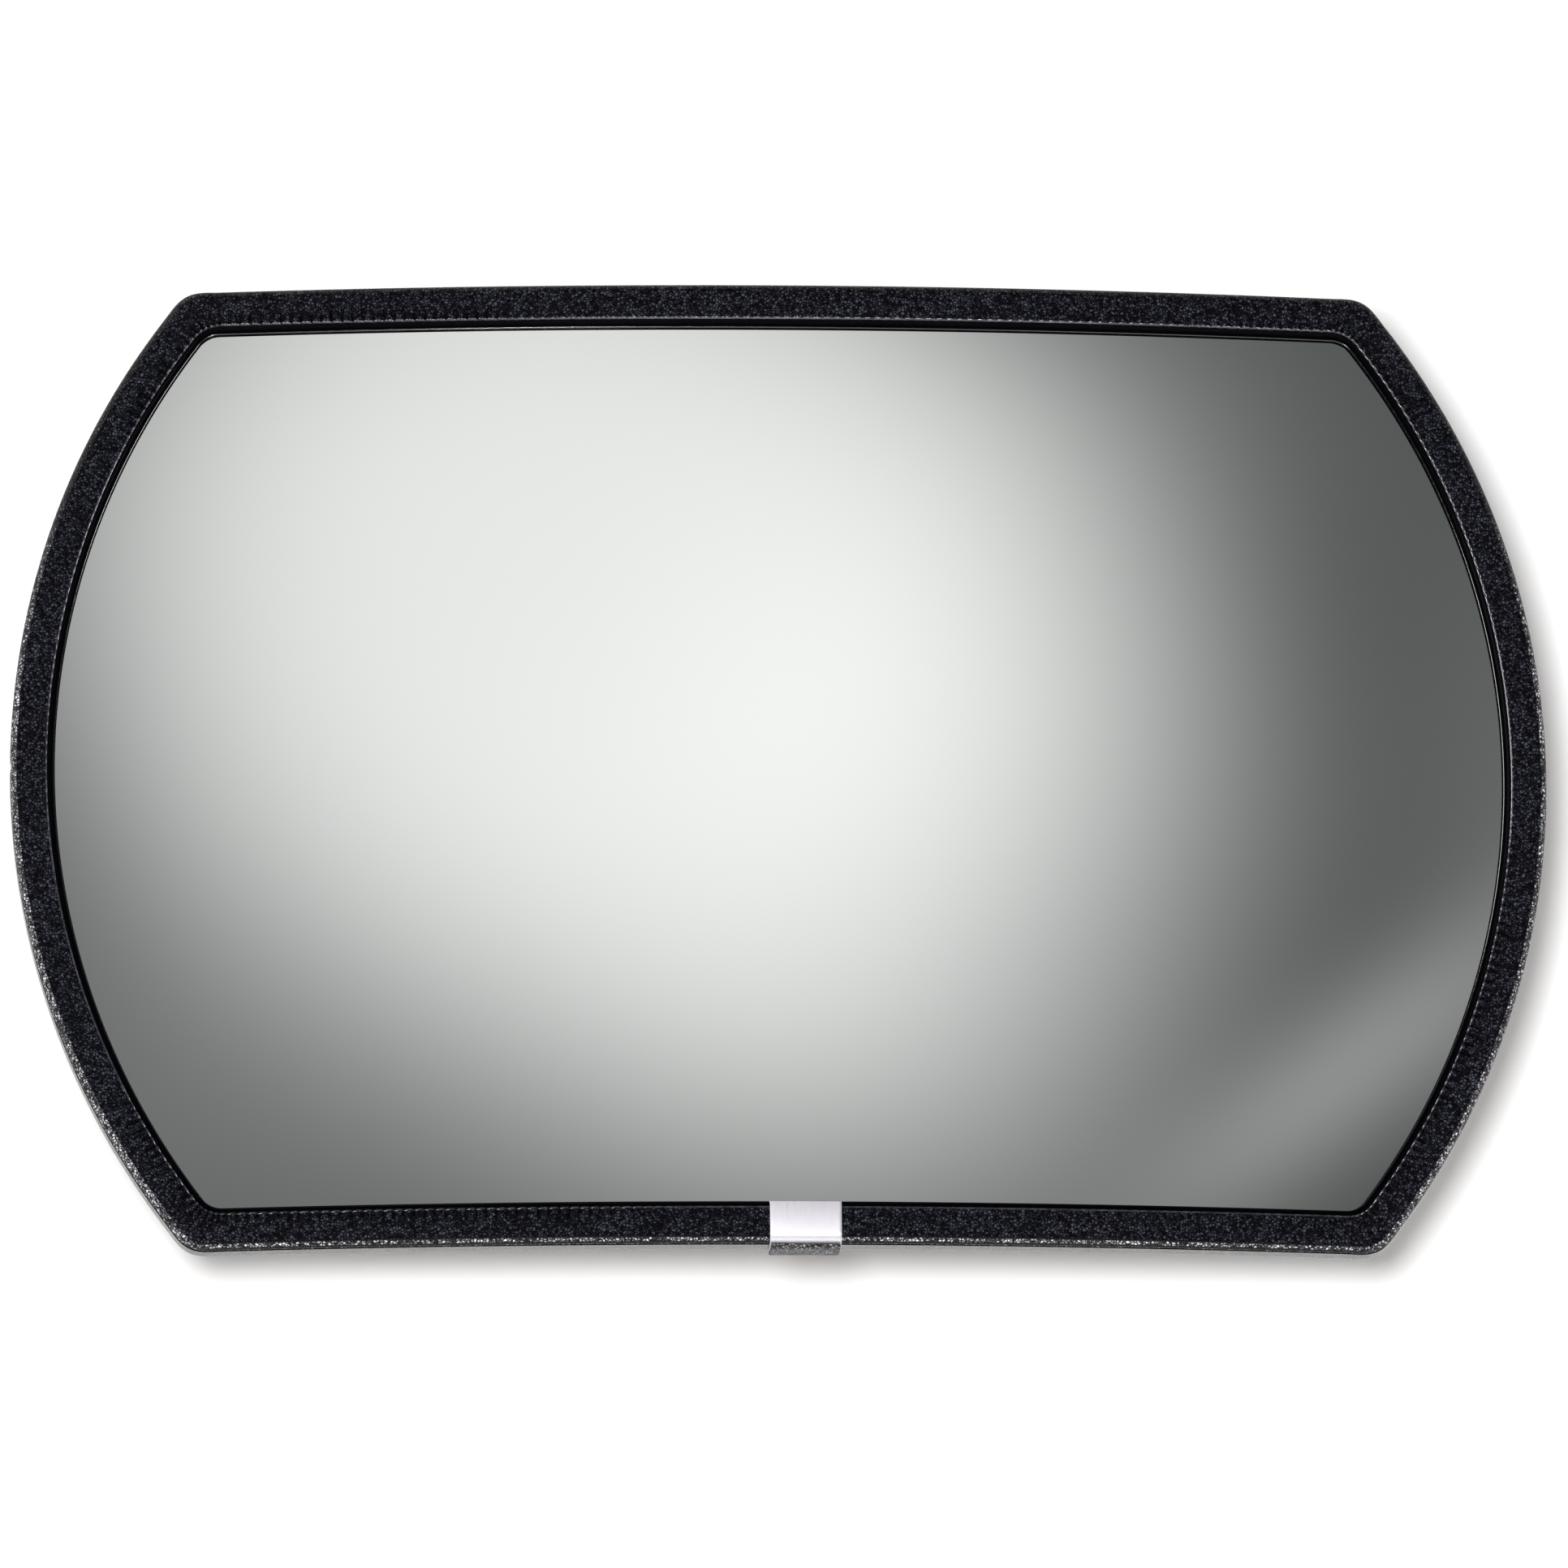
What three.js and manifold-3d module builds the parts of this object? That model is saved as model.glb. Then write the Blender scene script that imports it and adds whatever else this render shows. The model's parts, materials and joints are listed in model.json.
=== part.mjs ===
// Rounded-rectangular convex security mirror on a ball-and-socket wall bracket.
//
// Millimetres, +Z up. The mirror looks along -Y. The origin is the centre of the wall plate's
// back face, so the wall is the plane y = 0 and the whole object stands in front of it, at y < 0.
import * as THREE from "three";
import { mergeVertices } from "three/addons/utils/BufferGeometryUtils.js";
import Module from "manifold-3d";

const wasm = await Module();
wasm.setup();

// ---- Driving dimensions -------------------------------------------------------------------

const FIT_GAP = 0.3; // clearance left between separate pieces that touch

// Mirror lens: a sheet bent to part of a sphere, cut from a round dome by two level chords.
const SPHERE_R = 1536;
const LENS_HALF_WIDTH = 304;
const LENS_HALF_HEIGHT = 192.5;
const LENS_CORNER_R = 24;
const LENS_THICKNESS = 3;

// Hardboard back, bent to follow the bowed long edges and flat at the two sides.
const BOARD_THICKNESS = 3.2;
const BOARD_BEHIND_LENS_EDGE = 3.4;
const BOARD_INSET = 2;
const BOARD_BEND_HALF_LENGTH = 15;

// Vinyl edge trim. Its section is drawn in (u, v): u runs outward from the lens edge, square to
// the wall's normal, and v runs straight back from the lens's front edge, both in millimetres.
const TRIM_OUTER_U = 3.6;
const TRIM_FRONT_V = -7.6;
const TRIM_REAR_V = 9.2;
const TRIM_FACE_INNER_U = -11;
const TRIM_FRONT_SHOULDER_R = 4.2;
const TRIM_REAR_SHOULDER_R = 2.4;
const TRIM_INNER_CORNER_R = 0.7;
const TRIM_SKIN = 1.3;
const CARRIER_THICKNESS = 0.7;
const CARRIER_FRONT_U = -9.4;
const CARRIER_REAR_U = -8.6;
const CARRIER_CHAMFER = 1.6;
const REAR_NOSE_U = -9.8;

// The lip slants in from the face to a bead that rests on the lens, so in this part of the
// section, v is counted from the lens's sloping face.
const LENS_FOLLOWING_FROM_V = -3;
const BEAD_R = 1;
const BEAD_U = -12.8;
const BEAD_V = -1.4;

// Clip and splice that cover the place where the trim's two ends meet, on the lower edge.
const JOINT_X = 6.8;
const JOINT_GAP = 0.6;
const CLIP_LENGTH = 28.5;
const CLIP_THICKNESS = 0.5;
const CLIP_INNER_U = -12.3;
const CLIP_HOOK_V = -5.6;
const CLIP_REAR_U = -9;
const SPLICE_LENGTH = 27.6;
const SPLICE_THICKNESS = 1.3;

// Ball joint.
const BALL_Y = -155;
const BALL_R = 12.5;
const NECK_R = 3.2;
const NECK_END = 17.5;
const STUD_R = 4;
const STUD_LENGTH = 45.5;
const SEAT_THICKNESS = 1.2;
const SEAT_FROM_DEG = 118;
const SEAT_TO_DEG = 165;
const CLAMP_SHEET = 2.5;
const CLAMP_HALF_GAP = 0.8;
const CLAMP_HALF_LENGTH = 39;
const CLAMP_HALF_HEIGHT = 19;
const CLAMP_OPENING_HALF_DEG = 51;
const CLAMP_BOLT_X = 28;

// Clamp bolts, washers and wing nuts.
const BOLT_R = 3;
const BOLT_HEAD_R = 6.5;
const BOLT_HEAD_HEIGHT = 3;
const BOLT_TAIL = 19;
const WASHER_THICKNESS = 1.4;
const BOLT_WASHER_R = 6.5;
const WING_HUB_R = 5.5;
const WING_HUB_HEIGHT = 7.5;
const WING_SPAN = 12.5;
const WING_THICKNESS = 2.4;

// Arm and wall plate.
const ARM_R = 9.5;
const ARM_WALL = 1.5;
const WALL_PLATE_WIDTH = 64;
const WALL_PLATE_HEIGHT = 110;
const WALL_PLATE_THICKNESS = 3;
const WALL_PLATE_CORNER_R = 8;
const WALL_HOLE_R = 3.25;
const WALL_HOLE_X = 20;
const WALL_HOLE_Z = 42;

// Bridge bracket on the back of the mirror, with the hardware that holds it.
const BRIDGE_TO_BALL = 36;
const BRIDGE_RISE = 12;
const BRIDGE_SHEET = 2.5;
const BRIDGE_WIDTH = 40;
const BRIDGE_HALF_TOP = 27;
const BRIDGE_HALF_FOOT = 35;
const BRIDGE_HALF_HEIGHT = 75;
const SCREW_X = 11;
const SCREW_Z = 63;
const SCREW_R = 2.5;
const SCREW_HEAD_R = 4.6;
const SCREW_HEAD_HEIGHT = 2.8;
const SCREW_NUT_R = 4.7;
const SCREW_NUT_HEIGHT = 3.5;
const STUD_WASHER_R = 8;
const STUD_NUT_R = 7.5;
const STUD_NUT_HEIGHT = 5;

// How finely round shapes are faceted.
const ROUND_STEPS = 24;
const SMALL_ROUND_STEPS = 12;
const HEX = 6;
const CHORD_STEPS = 10;
const CORNER_STEPS = 4;
const SIDE_STEPS = 12;
const LENS_RINGS = 8;
const LENS_SPOKES = 48;
const BOARD_STEPS = 30;

// ---- Places worked out from the driving dimensions ------------------------------------------

const boltClear = BOLT_R + FIT_GAP;
const edgeDepth = Math.sqrt(SPHERE_R ** 2 - LENS_HALF_WIDTH ** 2);
const chordDepth = Math.sqrt(SPHERE_R ** 2 - LENS_HALF_HEIGHT ** 2);
const chordEndX = Math.sqrt(LENS_HALF_WIDTH ** 2 - LENS_HALF_HEIGHT ** 2);

// Faces behind one another on the axis, from the ball towards the mirror.
const bridgeBackY = BALL_Y - BRIDGE_TO_BALL;
const bridgeFootY = bridgeBackY - BRIDGE_RISE;
const boardBackY = bridgeFootY - FIT_GAP;
const boardFrontY = boardBackY - BOARD_THICKNESS;

// The lens's front face at its two round sides lies in this plane.
const lensEdgeY = boardFrontY - BOARD_BEHIND_LENS_EDGE + (chordDepth - edgeDepth);
const sphereCentreY = lensEdgeY + edgeDepth;

// ---- Helpers ----------------------------------------------------------------------------------

const degrees = THREE.MathUtils.degToRad;

function solid(geometry) {
  const bare = geometry.clone();
  for (const name of Object.keys(bare.attributes)) {
    if (name !== "position") bare.deleteAttribute(name);
  }
  const merged = mergeVertices(bare, 1e-4);
  const mesh = new wasm.Mesh({
    numProp: 3,
    vertProperties: merged.attributes.position.array,
    triVerts: new Uint32Array(merged.index.array),
  });
  return new wasm.Manifold(mesh);
}

function geometryOf(manifold) {
  const mesh = manifold.getMesh();
  const geometry = new THREE.BufferGeometry();
  geometry.setAttribute("position", new THREE.BufferAttribute(mesh.vertProperties, 3));
  geometry.setIndex(new THREE.BufferAttribute(mesh.triVerts, 1));
  geometry.computeVertexNormals();
  return geometry;
}

// A sheet lying in the XZ plane, from y = 0 back to y = -thickness.
function sheetXZ(shape, thickness, curveSegments = 3) {
  const settings = { depth: thickness, bevelEnabled: false, curveSegments };
  return new THREE.ExtrudeGeometry(shape, settings).rotateX(Math.PI / 2);
}

// A turned piece on the Y axis. Points are (radius, y) and start and end on the axis or close.
function turned(points, steps = ROUND_STEPS) {
  return new THREE.LatheGeometry(
    points.map(([r, y]) => new THREE.Vector2(r, y)),
    steps,
  );
}

// A ring on the Y axis, from y = low to y = high.
function ring(inner, outer, low, high, steps = ROUND_STEPS) {
  const profile = [
    [inner, low],
    [outer, low],
    [outer, high],
    [inner, high],
    [inner, low],
  ];
  return turned(profile, steps);
}

// A plain round bar on the Y axis, used as a cutter.
function bar(radius, low, high, steps = ROUND_STEPS) {
  return turned(
    [
      [0, low],
      [radius, low],
      [radius, high],
      [0, high],
    ],
    steps,
  );
}

function arcPoints(x, y, radius, fromDeg, toDeg, steps) {
  return Array.from({ length: steps + 1 }, (_, i) => {
    const angle = degrees(fromDeg + ((toDeg - fromDeg) * i) / steps);
    return [x + radius * Math.cos(angle), y + radius * Math.sin(angle)];
  });
}

function shapeOf(points) {
  return new THREE.Shape(points.map(([x, y]) => new THREE.Vector2(x, y)));
}

function roundedRectangle(halfWidth, halfHeight, radius) {
  const shape = new THREE.Shape();
  const x = halfWidth - radius;
  const y = halfHeight - radius;
  shape.absarc(x, y, radius, 0, Math.PI / 2);
  shape.absarc(-x, y, radius, Math.PI / 2, Math.PI);
  shape.absarc(-x, -y, radius, Math.PI, 1.5 * Math.PI);
  shape.absarc(x, -y, radius, 1.5 * Math.PI, 2 * Math.PI);
  return shape;
}

const looks = {
  mirror: { color: 0xe6e9ea, roughness: 0.04, metalness: 1 },
  hardboard: { color: 0x4a3423, roughness: 0.8, metalness: 0 },
  vinyl: { color: 0x15161a, roughness: 0.45, metalness: 0 },
  carrier: { color: 0x8d9094, roughness: 0.4, metalness: 1 },
  aluminium: { color: 0xe4e3e8, roughness: 0.38, metalness: 1 },
  zinc: { color: 0xb9bcc0, roughness: 0.35, metalness: 1 },
  nylon: { color: 0xe8e4da, roughness: 0.5, metalness: 0 },
};

function piece(name, geometry, look) {
  const mesh = new THREE.Mesh(geometry, new THREE.MeshStandardMaterial(looks[look]));
  mesh.name = name;
  return mesh;
}

// ---- The mirror's outline ----------------------------------------------------------------------

// Stations round the outline, anticlockwise seen from the front, each with its outward normal.
// They start and end at x = startX on the lower chord.
function outlineStations(inset, startX) {
  const a = LENS_HALF_WIDTH - inset;
  const h = LENS_HALF_HEIGHT - inset;
  const r = LENS_CORNER_R - inset;
  const filletX = Math.sqrt((a - r) ** 2 - (h - r) ** 2);
  const filletZ = h - r;
  const meet = THREE.MathUtils.radToDeg(Math.atan2(filletZ, filletX));
  const stations = [];
  const add = (x, z, nx, nz) => stations.push({ x, z, nx, nz });

  const arc = (cx, cz, radius, fromDeg, toDeg, steps) => {
    for (let i = 1; i <= steps; i++) {
      const angle = degrees(fromDeg + ((toDeg - fromDeg) * i) / steps);
      const nx = Math.cos(angle);
      const nz = Math.sin(angle);
      add(cx + radius * nx, cz + radius * nz, nx, nz);
    }
  };
  const chord = (fromX, toX, z, nz, steps) => {
    for (let i = 1; i <= steps; i++) add(fromX + ((toX - fromX) * i) / steps, z, 0, nz);
  };

  add(startX, -h, 0, -1);
  chord(startX, filletX, -h, -1, CHORD_STEPS / 2);
  arc(filletX, -filletZ, r, -90, -meet, CORNER_STEPS);
  arc(0, 0, a, -meet, meet, SIDE_STEPS);
  arc(filletX, filletZ, r, meet, 90, CORNER_STEPS);
  chord(filletX, -filletX, h, 1, CHORD_STEPS);
  arc(-filletX, filletZ, r, 90, 180 - meet, CORNER_STEPS);
  arc(0, 0, a, 180 - meet, 180 + meet, SIDE_STEPS);
  arc(-filletX, -filletZ, r, 180 + meet, 270, CORNER_STEPS);
  chord(-filletX, startX, -h, -1, CHORD_STEPS / 2);
  return stations;
}

function outlineShape(inset) {
  const stations = outlineStations(inset, 0);
  stations.pop();
  return shapeOf(stations.map((s) => [s.x, s.z]));
}

function lensFrontY(x, z) {
  return sphereCentreY - Math.sqrt(SPHERE_R ** 2 - x ** 2 - z ** 2);
}

// Where the section's point (u, v) lies at a station.
function sectionPoint({ x, z, nx, nz }, u, v) {
  const slope = (x * nx + z * nz) / Math.sqrt(SPHERE_R ** 2 - x ** 2 - z ** 2);
  const followsLens = v > LENS_FOLLOWING_FROM_V && v < 0;
  const y = lensFrontY(x, z) + v + (followsLens ? slope * u : 0);
  return [x + u * nx, y, z + u * nz];
}

// A (u, v) section swept along the stations: a straight extrusion, one step per station, whose
// every layer is then moved to its station.
function sweep(section, stations) {
  const steps = stations.length - 1;
  const straight = new THREE.ExtrudeGeometry(section, { depth: steps, steps, bevelEnabled: false });
  const position = straight.attributes.position;
  for (let i = 0; i < position.count; i++) {
    const station = stations[Math.round(position.getZ(i))];
    position.setXYZ(i, ...sectionPoint(station, position.getX(i), position.getY(i)));
  }
  straight.computeVertexNormals();
  return straight;
}

// A short straight run of stations on the lower chord, centred on the trim's joint.
function jointStations(length, steps = 3) {
  return Array.from({ length: steps + 1 }, (_, i) => ({
    x: JOINT_X - length / 2 + (length * i) / steps,
    z: -LENS_HALF_HEIGHT,
    nx: 0,
    nz: -1,
  }));
}

// ---- Mirror panel --------------------------------------------------------------------------------

function mirrorLens() {
  const inset = 0.5;
  const reach = LENS_HALF_WIDTH + 4;
  const backR = SPHERE_R - LENS_THICKNESS;
  const front = [];
  const back = [];
  for (let i = 0; i <= LENS_RINGS; i++) {
    const r = (reach * i) / LENS_RINGS;
    front.push([r, sphereCentreY - Math.sqrt(SPHERE_R ** 2 - r ** 2)]);
    back.unshift([r, sphereCentreY - Math.sqrt(backR ** 2 - r ** 2)]);
  }
  const dome = solid(turned([...front, ...back], LENS_SPOKES));
  const cutter = sheetXZ(outlineShape(inset), 100).translate(0, lensEdgeY + 30, 0);
  return piece("mirror_lens", geometryOf(dome.intersect(solid(cutter))), "mirror");
}

// How far the board bows forward of its flat sides at x.
function boardBow(x) {
  const away = Math.abs(x);
  const bow = Math.sqrt(SPHERE_R ** 2 - LENS_HALF_HEIGHT ** 2 - away ** 2) - edgeDepth;
  const bendStart = chordEndX - BOARD_BEND_HALF_LENGTH;
  if (away < bendStart) return bow;
  const slope = chordEndX / edgeDepth;
  const left = Math.max(0, chordEndX + BOARD_BEND_HALF_LENGTH - away);
  return (slope * left ** 2) / (4 * BOARD_BEND_HALF_LENGTH);
}

function backingBoard() {
  const halfLength = LENS_HALF_WIDTH + 4;
  const front = [];
  const back = [];
  for (let i = 0; i <= BOARD_STEPS; i++) {
    const x = -halfLength + (2 * halfLength * i) / BOARD_STEPS;
    const y = lensEdgeY + BOARD_BEHIND_LENS_EDGE - boardBow(x);
    front.push([x, y]);
    back.unshift([x, y + BOARD_THICKNESS]);
  }
  const tall = 2 * LENS_HALF_HEIGHT + 10;
  const bent = new THREE.ExtrudeGeometry(shapeOf([...front, ...back]), {
    depth: tall,
    bevelEnabled: false,
  }).translate(0, 0, -tall / 2);
  const cutter = sheetXZ(outlineShape(BOARD_INSET), 100).translate(0, lensEdgeY + 50, 0);
  let board = solid(bent).intersect(solid(cutter));
  for (const [x, z] of screwPlaces()) {
    const hole = bar(SCREW_R + FIT_GAP, boardFrontY - 5, boardBackY + 5, SMALL_ROUND_STEPS);
    board = board.subtract(solid(hole.translate(x, 0, z)));
  }
  return piece("backing_board", geometryOf(board), "hardboard");
}

function edgeTrim() {
  const innerFrontV = TRIM_FRONT_V + TRIM_SKIN;
  const innerRearV = TRIM_REAR_V - TRIM_SKIN;
  const innerWallU = TRIM_OUTER_U - TRIM_SKIN;
  const noseR = (TRIM_SKIN + CARRIER_THICKNESS + FIT_GAP) / 2;
  const corner = TRIM_INNER_CORNER_R;
  const front = TRIM_FRONT_SHOULDER_R;
  const rear = TRIM_REAR_SHOULDER_R;
  const section = shapeOf([
    ...arcPoints(TRIM_FACE_INNER_U + corner, TRIM_FRONT_V + corner, corner, 180, 270, 2),
    ...arcPoints(TRIM_OUTER_U - front, TRIM_FRONT_V + front, front, -90, 0, 3),
    ...arcPoints(TRIM_OUTER_U - rear, TRIM_REAR_V - rear, rear, 0, 90, 2),
    ...arcPoints(REAR_NOSE_U, TRIM_REAR_V - noseR, noseR, 90, 270, 3),
    [CARRIER_REAR_U - FIT_GAP, TRIM_REAR_V - 2 * noseR],
    [CARRIER_REAR_U - FIT_GAP, innerRearV],
    [innerWallU, innerRearV],
    [innerWallU, innerFrontV + CARRIER_CHAMFER],
    [innerWallU - CARRIER_CHAMFER, innerFrontV],
    [CARRIER_FRONT_U - FIT_GAP, innerFrontV],
    [CARRIER_FRONT_U - FIT_GAP, BEAD_V + BEAD_R],
    ...arcPoints(BEAD_U, BEAD_V, BEAD_R, 90, 215, 3),
  ]);
  const stations = outlineStations(0, JOINT_X);
  stations[0] = { ...stations[0], x: JOINT_X + JOINT_GAP / 2 };
  stations.push({ ...stations.pop(), x: JOINT_X - JOINT_GAP / 2 });
  return piece("edge_trim", sweep(section, stations), "vinyl");
}

function trimCarrier() {
  const outerU = TRIM_OUTER_U - TRIM_SKIN - FIT_GAP;
  const frontV = TRIM_FRONT_V + TRIM_SKIN + FIT_GAP;
  const rearV = TRIM_REAR_V - TRIM_SKIN - FIT_GAP;
  const t = CARRIER_THICKNESS;
  const section = shapeOf([
    [CARRIER_FRONT_U, frontV],
    [outerU - CARRIER_CHAMFER, frontV],
    [outerU, frontV + CARRIER_CHAMFER],
    [outerU, rearV],
    [CARRIER_REAR_U, rearV],
    [CARRIER_REAR_U, rearV - t],
    [outerU - t, rearV - t],
    [outerU - t, frontV + CARRIER_CHAMFER + t / 2],
    [outerU - CARRIER_CHAMFER - t / 2, frontV + t],
    [CARRIER_FRONT_U, frontV + t],
  ]);
  const stations = outlineStations(0, JOINT_X);
  stations[0] = { ...stations[0], x: JOINT_X + 2 };
  stations.push({ ...stations.pop(), x: JOINT_X - 2 });
  return piece("trim_carrier", sweep(section, stations), "carrier");
}

// A band of the given thickness, FIT_GAP outside the trim plus a further offset.
function bandOutside(offset, thickness, frontDeg, rearU, frontEnd) {
  const inner = FIT_GAP + offset;
  const outer = inner + thickness;
  const frontU = TRIM_OUTER_U - TRIM_FRONT_SHOULDER_R;
  const frontV = TRIM_FRONT_V + TRIM_FRONT_SHOULDER_R;
  const rearArcU = TRIM_OUTER_U - TRIM_REAR_SHOULDER_R;
  const rearArcV = TRIM_REAR_V - TRIM_REAR_SHOULDER_R;
  const frontArc = (by, from, to) =>
    arcPoints(frontU, frontV, TRIM_FRONT_SHOULDER_R + by, from, to, 5);
  const rearArc = (by, from, to) =>
    arcPoints(rearArcU, rearArcV, TRIM_REAR_SHOULDER_R + by, from, to, 5);
  return shapeOf([
    ...frontArc(outer, frontDeg, 0),
    ...rearArc(outer, 0, 90),
    [rearU, TRIM_REAR_V + outer],
    [rearU, TRIM_REAR_V + inner],
    ...rearArc(inner, 90, 0),
    ...frontArc(inner, 0, frontDeg),
    ...frontEnd(inner, outer),
  ]);
}

function jointClip() {
  const hook = (inner, outer) => [
    [CLIP_INNER_U - inner, TRIM_FRONT_V - inner],
    [CLIP_INNER_U - inner, CLIP_HOOK_V],
    [CLIP_INNER_U - outer, CLIP_HOOK_V],
    [CLIP_INNER_U - outer, TRIM_FRONT_V - inner],
    [CLIP_INNER_U - inner, TRIM_FRONT_V - outer],
  ];
  const section = bandOutside(0, CLIP_THICKNESS, -90, CLIP_REAR_U, hook);
  return piece("joint_clip", sweep(section, jointStations(CLIP_LENGTH)), "aluminium");
}

function jointSplice() {
  const offset = CLIP_THICKNESS + FIT_GAP;
  const section = bandOutside(offset, SPLICE_THICKNESS, -30, CLIP_REAR_U, () => []);
  return piece("joint_splice", sweep(section, jointStations(SPLICE_LENGTH)), "vinyl");
}

// ---- Bridge bracket on the back of the mirror ----------------------------------------------------

function screwPlaces() {
  return [
    [-SCREW_X, -SCREW_Z],
    [SCREW_X, -SCREW_Z],
    [-SCREW_X, SCREW_Z],
    [SCREW_X, SCREW_Z],
  ];
}

function bridgeBracket() {
  const t = BRIDGE_SHEET;
  const footBack = bridgeFootY + t;
  const halfProfile = (side) => [
    [side * BRIDGE_HALF_TOP, bridgeBackY],
    [side * BRIDGE_HALF_FOOT, footBack],
    [side * BRIDGE_HALF_HEIGHT, footBack],
    [side * BRIDGE_HALF_HEIGHT, bridgeFootY],
    [side * (BRIDGE_HALF_FOOT - t), bridgeFootY],
    [side * (BRIDGE_HALF_TOP - t / 2), bridgeBackY - t],
  ];
  const profile = shapeOf([...halfProfile(1), ...halfProfile(-1).reverse()]);
  const strip = new THREE.ExtrudeGeometry(profile, { depth: BRIDGE_WIDTH, bevelEnabled: false });
  strip.translate(0, 0, -BRIDGE_WIDTH / 2).rotateY(-Math.PI / 2);
  const outline = roundedRectangle(BRIDGE_WIDTH / 2, BRIDGE_HALF_HEIGHT, WALL_PLATE_CORNER_R);
  const trimmer = sheetXZ(outline, 60).translate(0, bridgeBackY + 20, 0);
  let bridge = solid(strip).intersect(solid(trimmer));
  bridge = bridge.subtract(solid(bar(STUD_R + FIT_GAP, bridgeBackY - 10, bridgeBackY + 10)));
  for (const [x, z] of screwPlaces()) {
    const hole = bar(SCREW_R + FIT_GAP, bridgeFootY - 5, bridgeFootY + 5, SMALL_ROUND_STEPS);
    bridge = bridge.subtract(solid(hole.translate(x, 0, z)));
  }
  return piece("bridge_bracket", geometryOf(bridge), "zinc");
}

function boardScrew(index, [x, z]) {
  const headBase = bridgeFootY + BRIDGE_SHEET + FIT_GAP;
  const tip = boardFrontY - FIT_GAP - SCREW_NUT_HEIGHT - 1;
  const profile = [
    [0, tip],
    [SCREW_R - 0.5, tip],
    [SCREW_R, tip + 0.6],
    [SCREW_R, headBase],
    [SCREW_HEAD_R, headBase],
    [SCREW_HEAD_R, headBase + SCREW_HEAD_HEIGHT * 0.45],
    [SCREW_HEAD_R * 0.72, headBase + SCREW_HEAD_HEIGHT * 0.9],
    [0, headBase + SCREW_HEAD_HEIGHT],
  ];
  const mesh = piece(`board_screw_${index}`, turned(profile, SMALL_ROUND_STEPS), "zinc");
  mesh.position.set(x, 0, z);
  return mesh;
}

function boardNut(index, [x, z]) {
  const high = boardFrontY - FIT_GAP;
  const hex = solid(bar(SCREW_NUT_R, high - SCREW_NUT_HEIGHT, high, HEX));
  const bore = solid(bar(SCREW_R + FIT_GAP, high - 10, high + 10, SMALL_ROUND_STEPS));
  const mesh = piece(`board_nut_${index}`, geometryOf(hex.subtract(bore)), "zinc");
  mesh.position.set(x, 0, z);
  return mesh;
}

// ---- Ball joint ------------------------------------------------------------------------------------
// These are drawn with the ball's centre at the origin and the stud along -Y.

function ballStud() {
  const neckDeg = THREE.MathUtils.radToDeg(Math.asin(NECK_R / BALL_R));
  const ball = arcPoints(0, 0, BALL_R, -90 + neckDeg, 90, 12);
  const profile = [
    [0, -STUD_LENGTH],
    [STUD_R - 0.8, -STUD_LENGTH],
    [STUD_R, -STUD_LENGTH + 0.8],
    [STUD_R, -NECK_END - 1],
    [NECK_R, -NECK_END],
    ...ball,
  ];
  profile[profile.length - 1] = [0, BALL_R];
  return piece("ball_stud", turned(profile), "zinc");
}

function ballSeat() {
  const inner = BALL_R + FIT_GAP;
  const outer = inner + SEAT_THICKNESS;
  const from = SEAT_FROM_DEG - 90;
  const to = SEAT_TO_DEG - 90;
  const profile = [
    ...arcPoints(0, 0, outer, from, to, 5),
    ...arcPoints(0, 0, inner, to, from, 5),
  ];
  return piece("ball_seat", turned([...profile, profile[0]]), "nylon");
}

function studWasher() {
  const low = -BRIDGE_TO_BALL + FIT_GAP;
  const geometry = ring(STUD_R + FIT_GAP, STUD_WASHER_R, low, low + WASHER_THICKNESS);
  return piece("stud_washer", geometry, "zinc");
}

function studNut(name, low) {
  const hex = solid(bar(STUD_NUT_R, low, low + STUD_NUT_HEIGHT, HEX));
  const bore = solid(bar(STUD_R + FIT_GAP, low - 10, low + 20, 16));
  return piece(name, geometryOf(hex.subtract(bore)), "zinc");
}

// One clamp sheet: a flat, round-ended strip with a domed middle that holds the ball.
// side is -1 for the front sheet and 1 for the rear one.
function clampSheet(side, cupR) {
  const domeR = cupR + CLAMP_SHEET;
  const near = side * CLAMP_HALF_GAP;
  const far = side * (CLAMP_HALF_GAP + CLAMP_SHEET);
  const outline = roundedRectangle(CLAMP_HALF_LENGTH, CLAMP_HALF_HEIGHT, CLAMP_HALF_HEIGHT - 1);
  const flange = sheetXZ(outline, CLAMP_SHEET, 4).translate(0, Math.max(near, far), 0);
  const flat = Math.asin(CLAMP_HALF_GAP / domeR);
  const dome = arcPoints(0, 0, domeR, THREE.MathUtils.radToDeg(flat), 90, 7);
  dome[dome.length - 1] = [0, domeR];
  const domeSolid = turned([[0, CLAMP_HALF_GAP], ...dome]);
  const cup = arcPoints(0, 0, cupR, -90, 90, 18);
  cup[0] = [0, -cupR];
  cup[cup.length - 1] = [0, cupR];
  if (side < 0) domeSolid.rotateX(Math.PI);
  let sheet = solid(flange).add(solid(domeSolid)).subtract(solid(turned(cup)));
  for (const x of [-CLAMP_BOLT_X, CLAMP_BOLT_X]) {
    sheet = sheet.subtract(solid(bar(boltClear, -10, 10, 16).translate(x, 0, 0)));
  }
  return sheet;
}

function frontClamp() {
  const reach = 40;
  const mouth = reach * Math.tan(degrees(CLAMP_OPENING_HALF_DEG));
  const cone = turned([
    [0, -reach],
    [mouth, -reach],
    [0, 0],
  ]);
  const sheet = clampSheet(-1, BALL_R + FIT_GAP).subtract(solid(cone));
  return piece("front_clamp", geometryOf(sheet), "zinc");
}

function rearClamp() {
  const cupR = BALL_R + FIT_GAP + SEAT_THICKNESS + FIT_GAP;
  return piece("rear_clamp", geometryOf(clampSheet(1, cupR)), "zinc");
}

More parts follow.
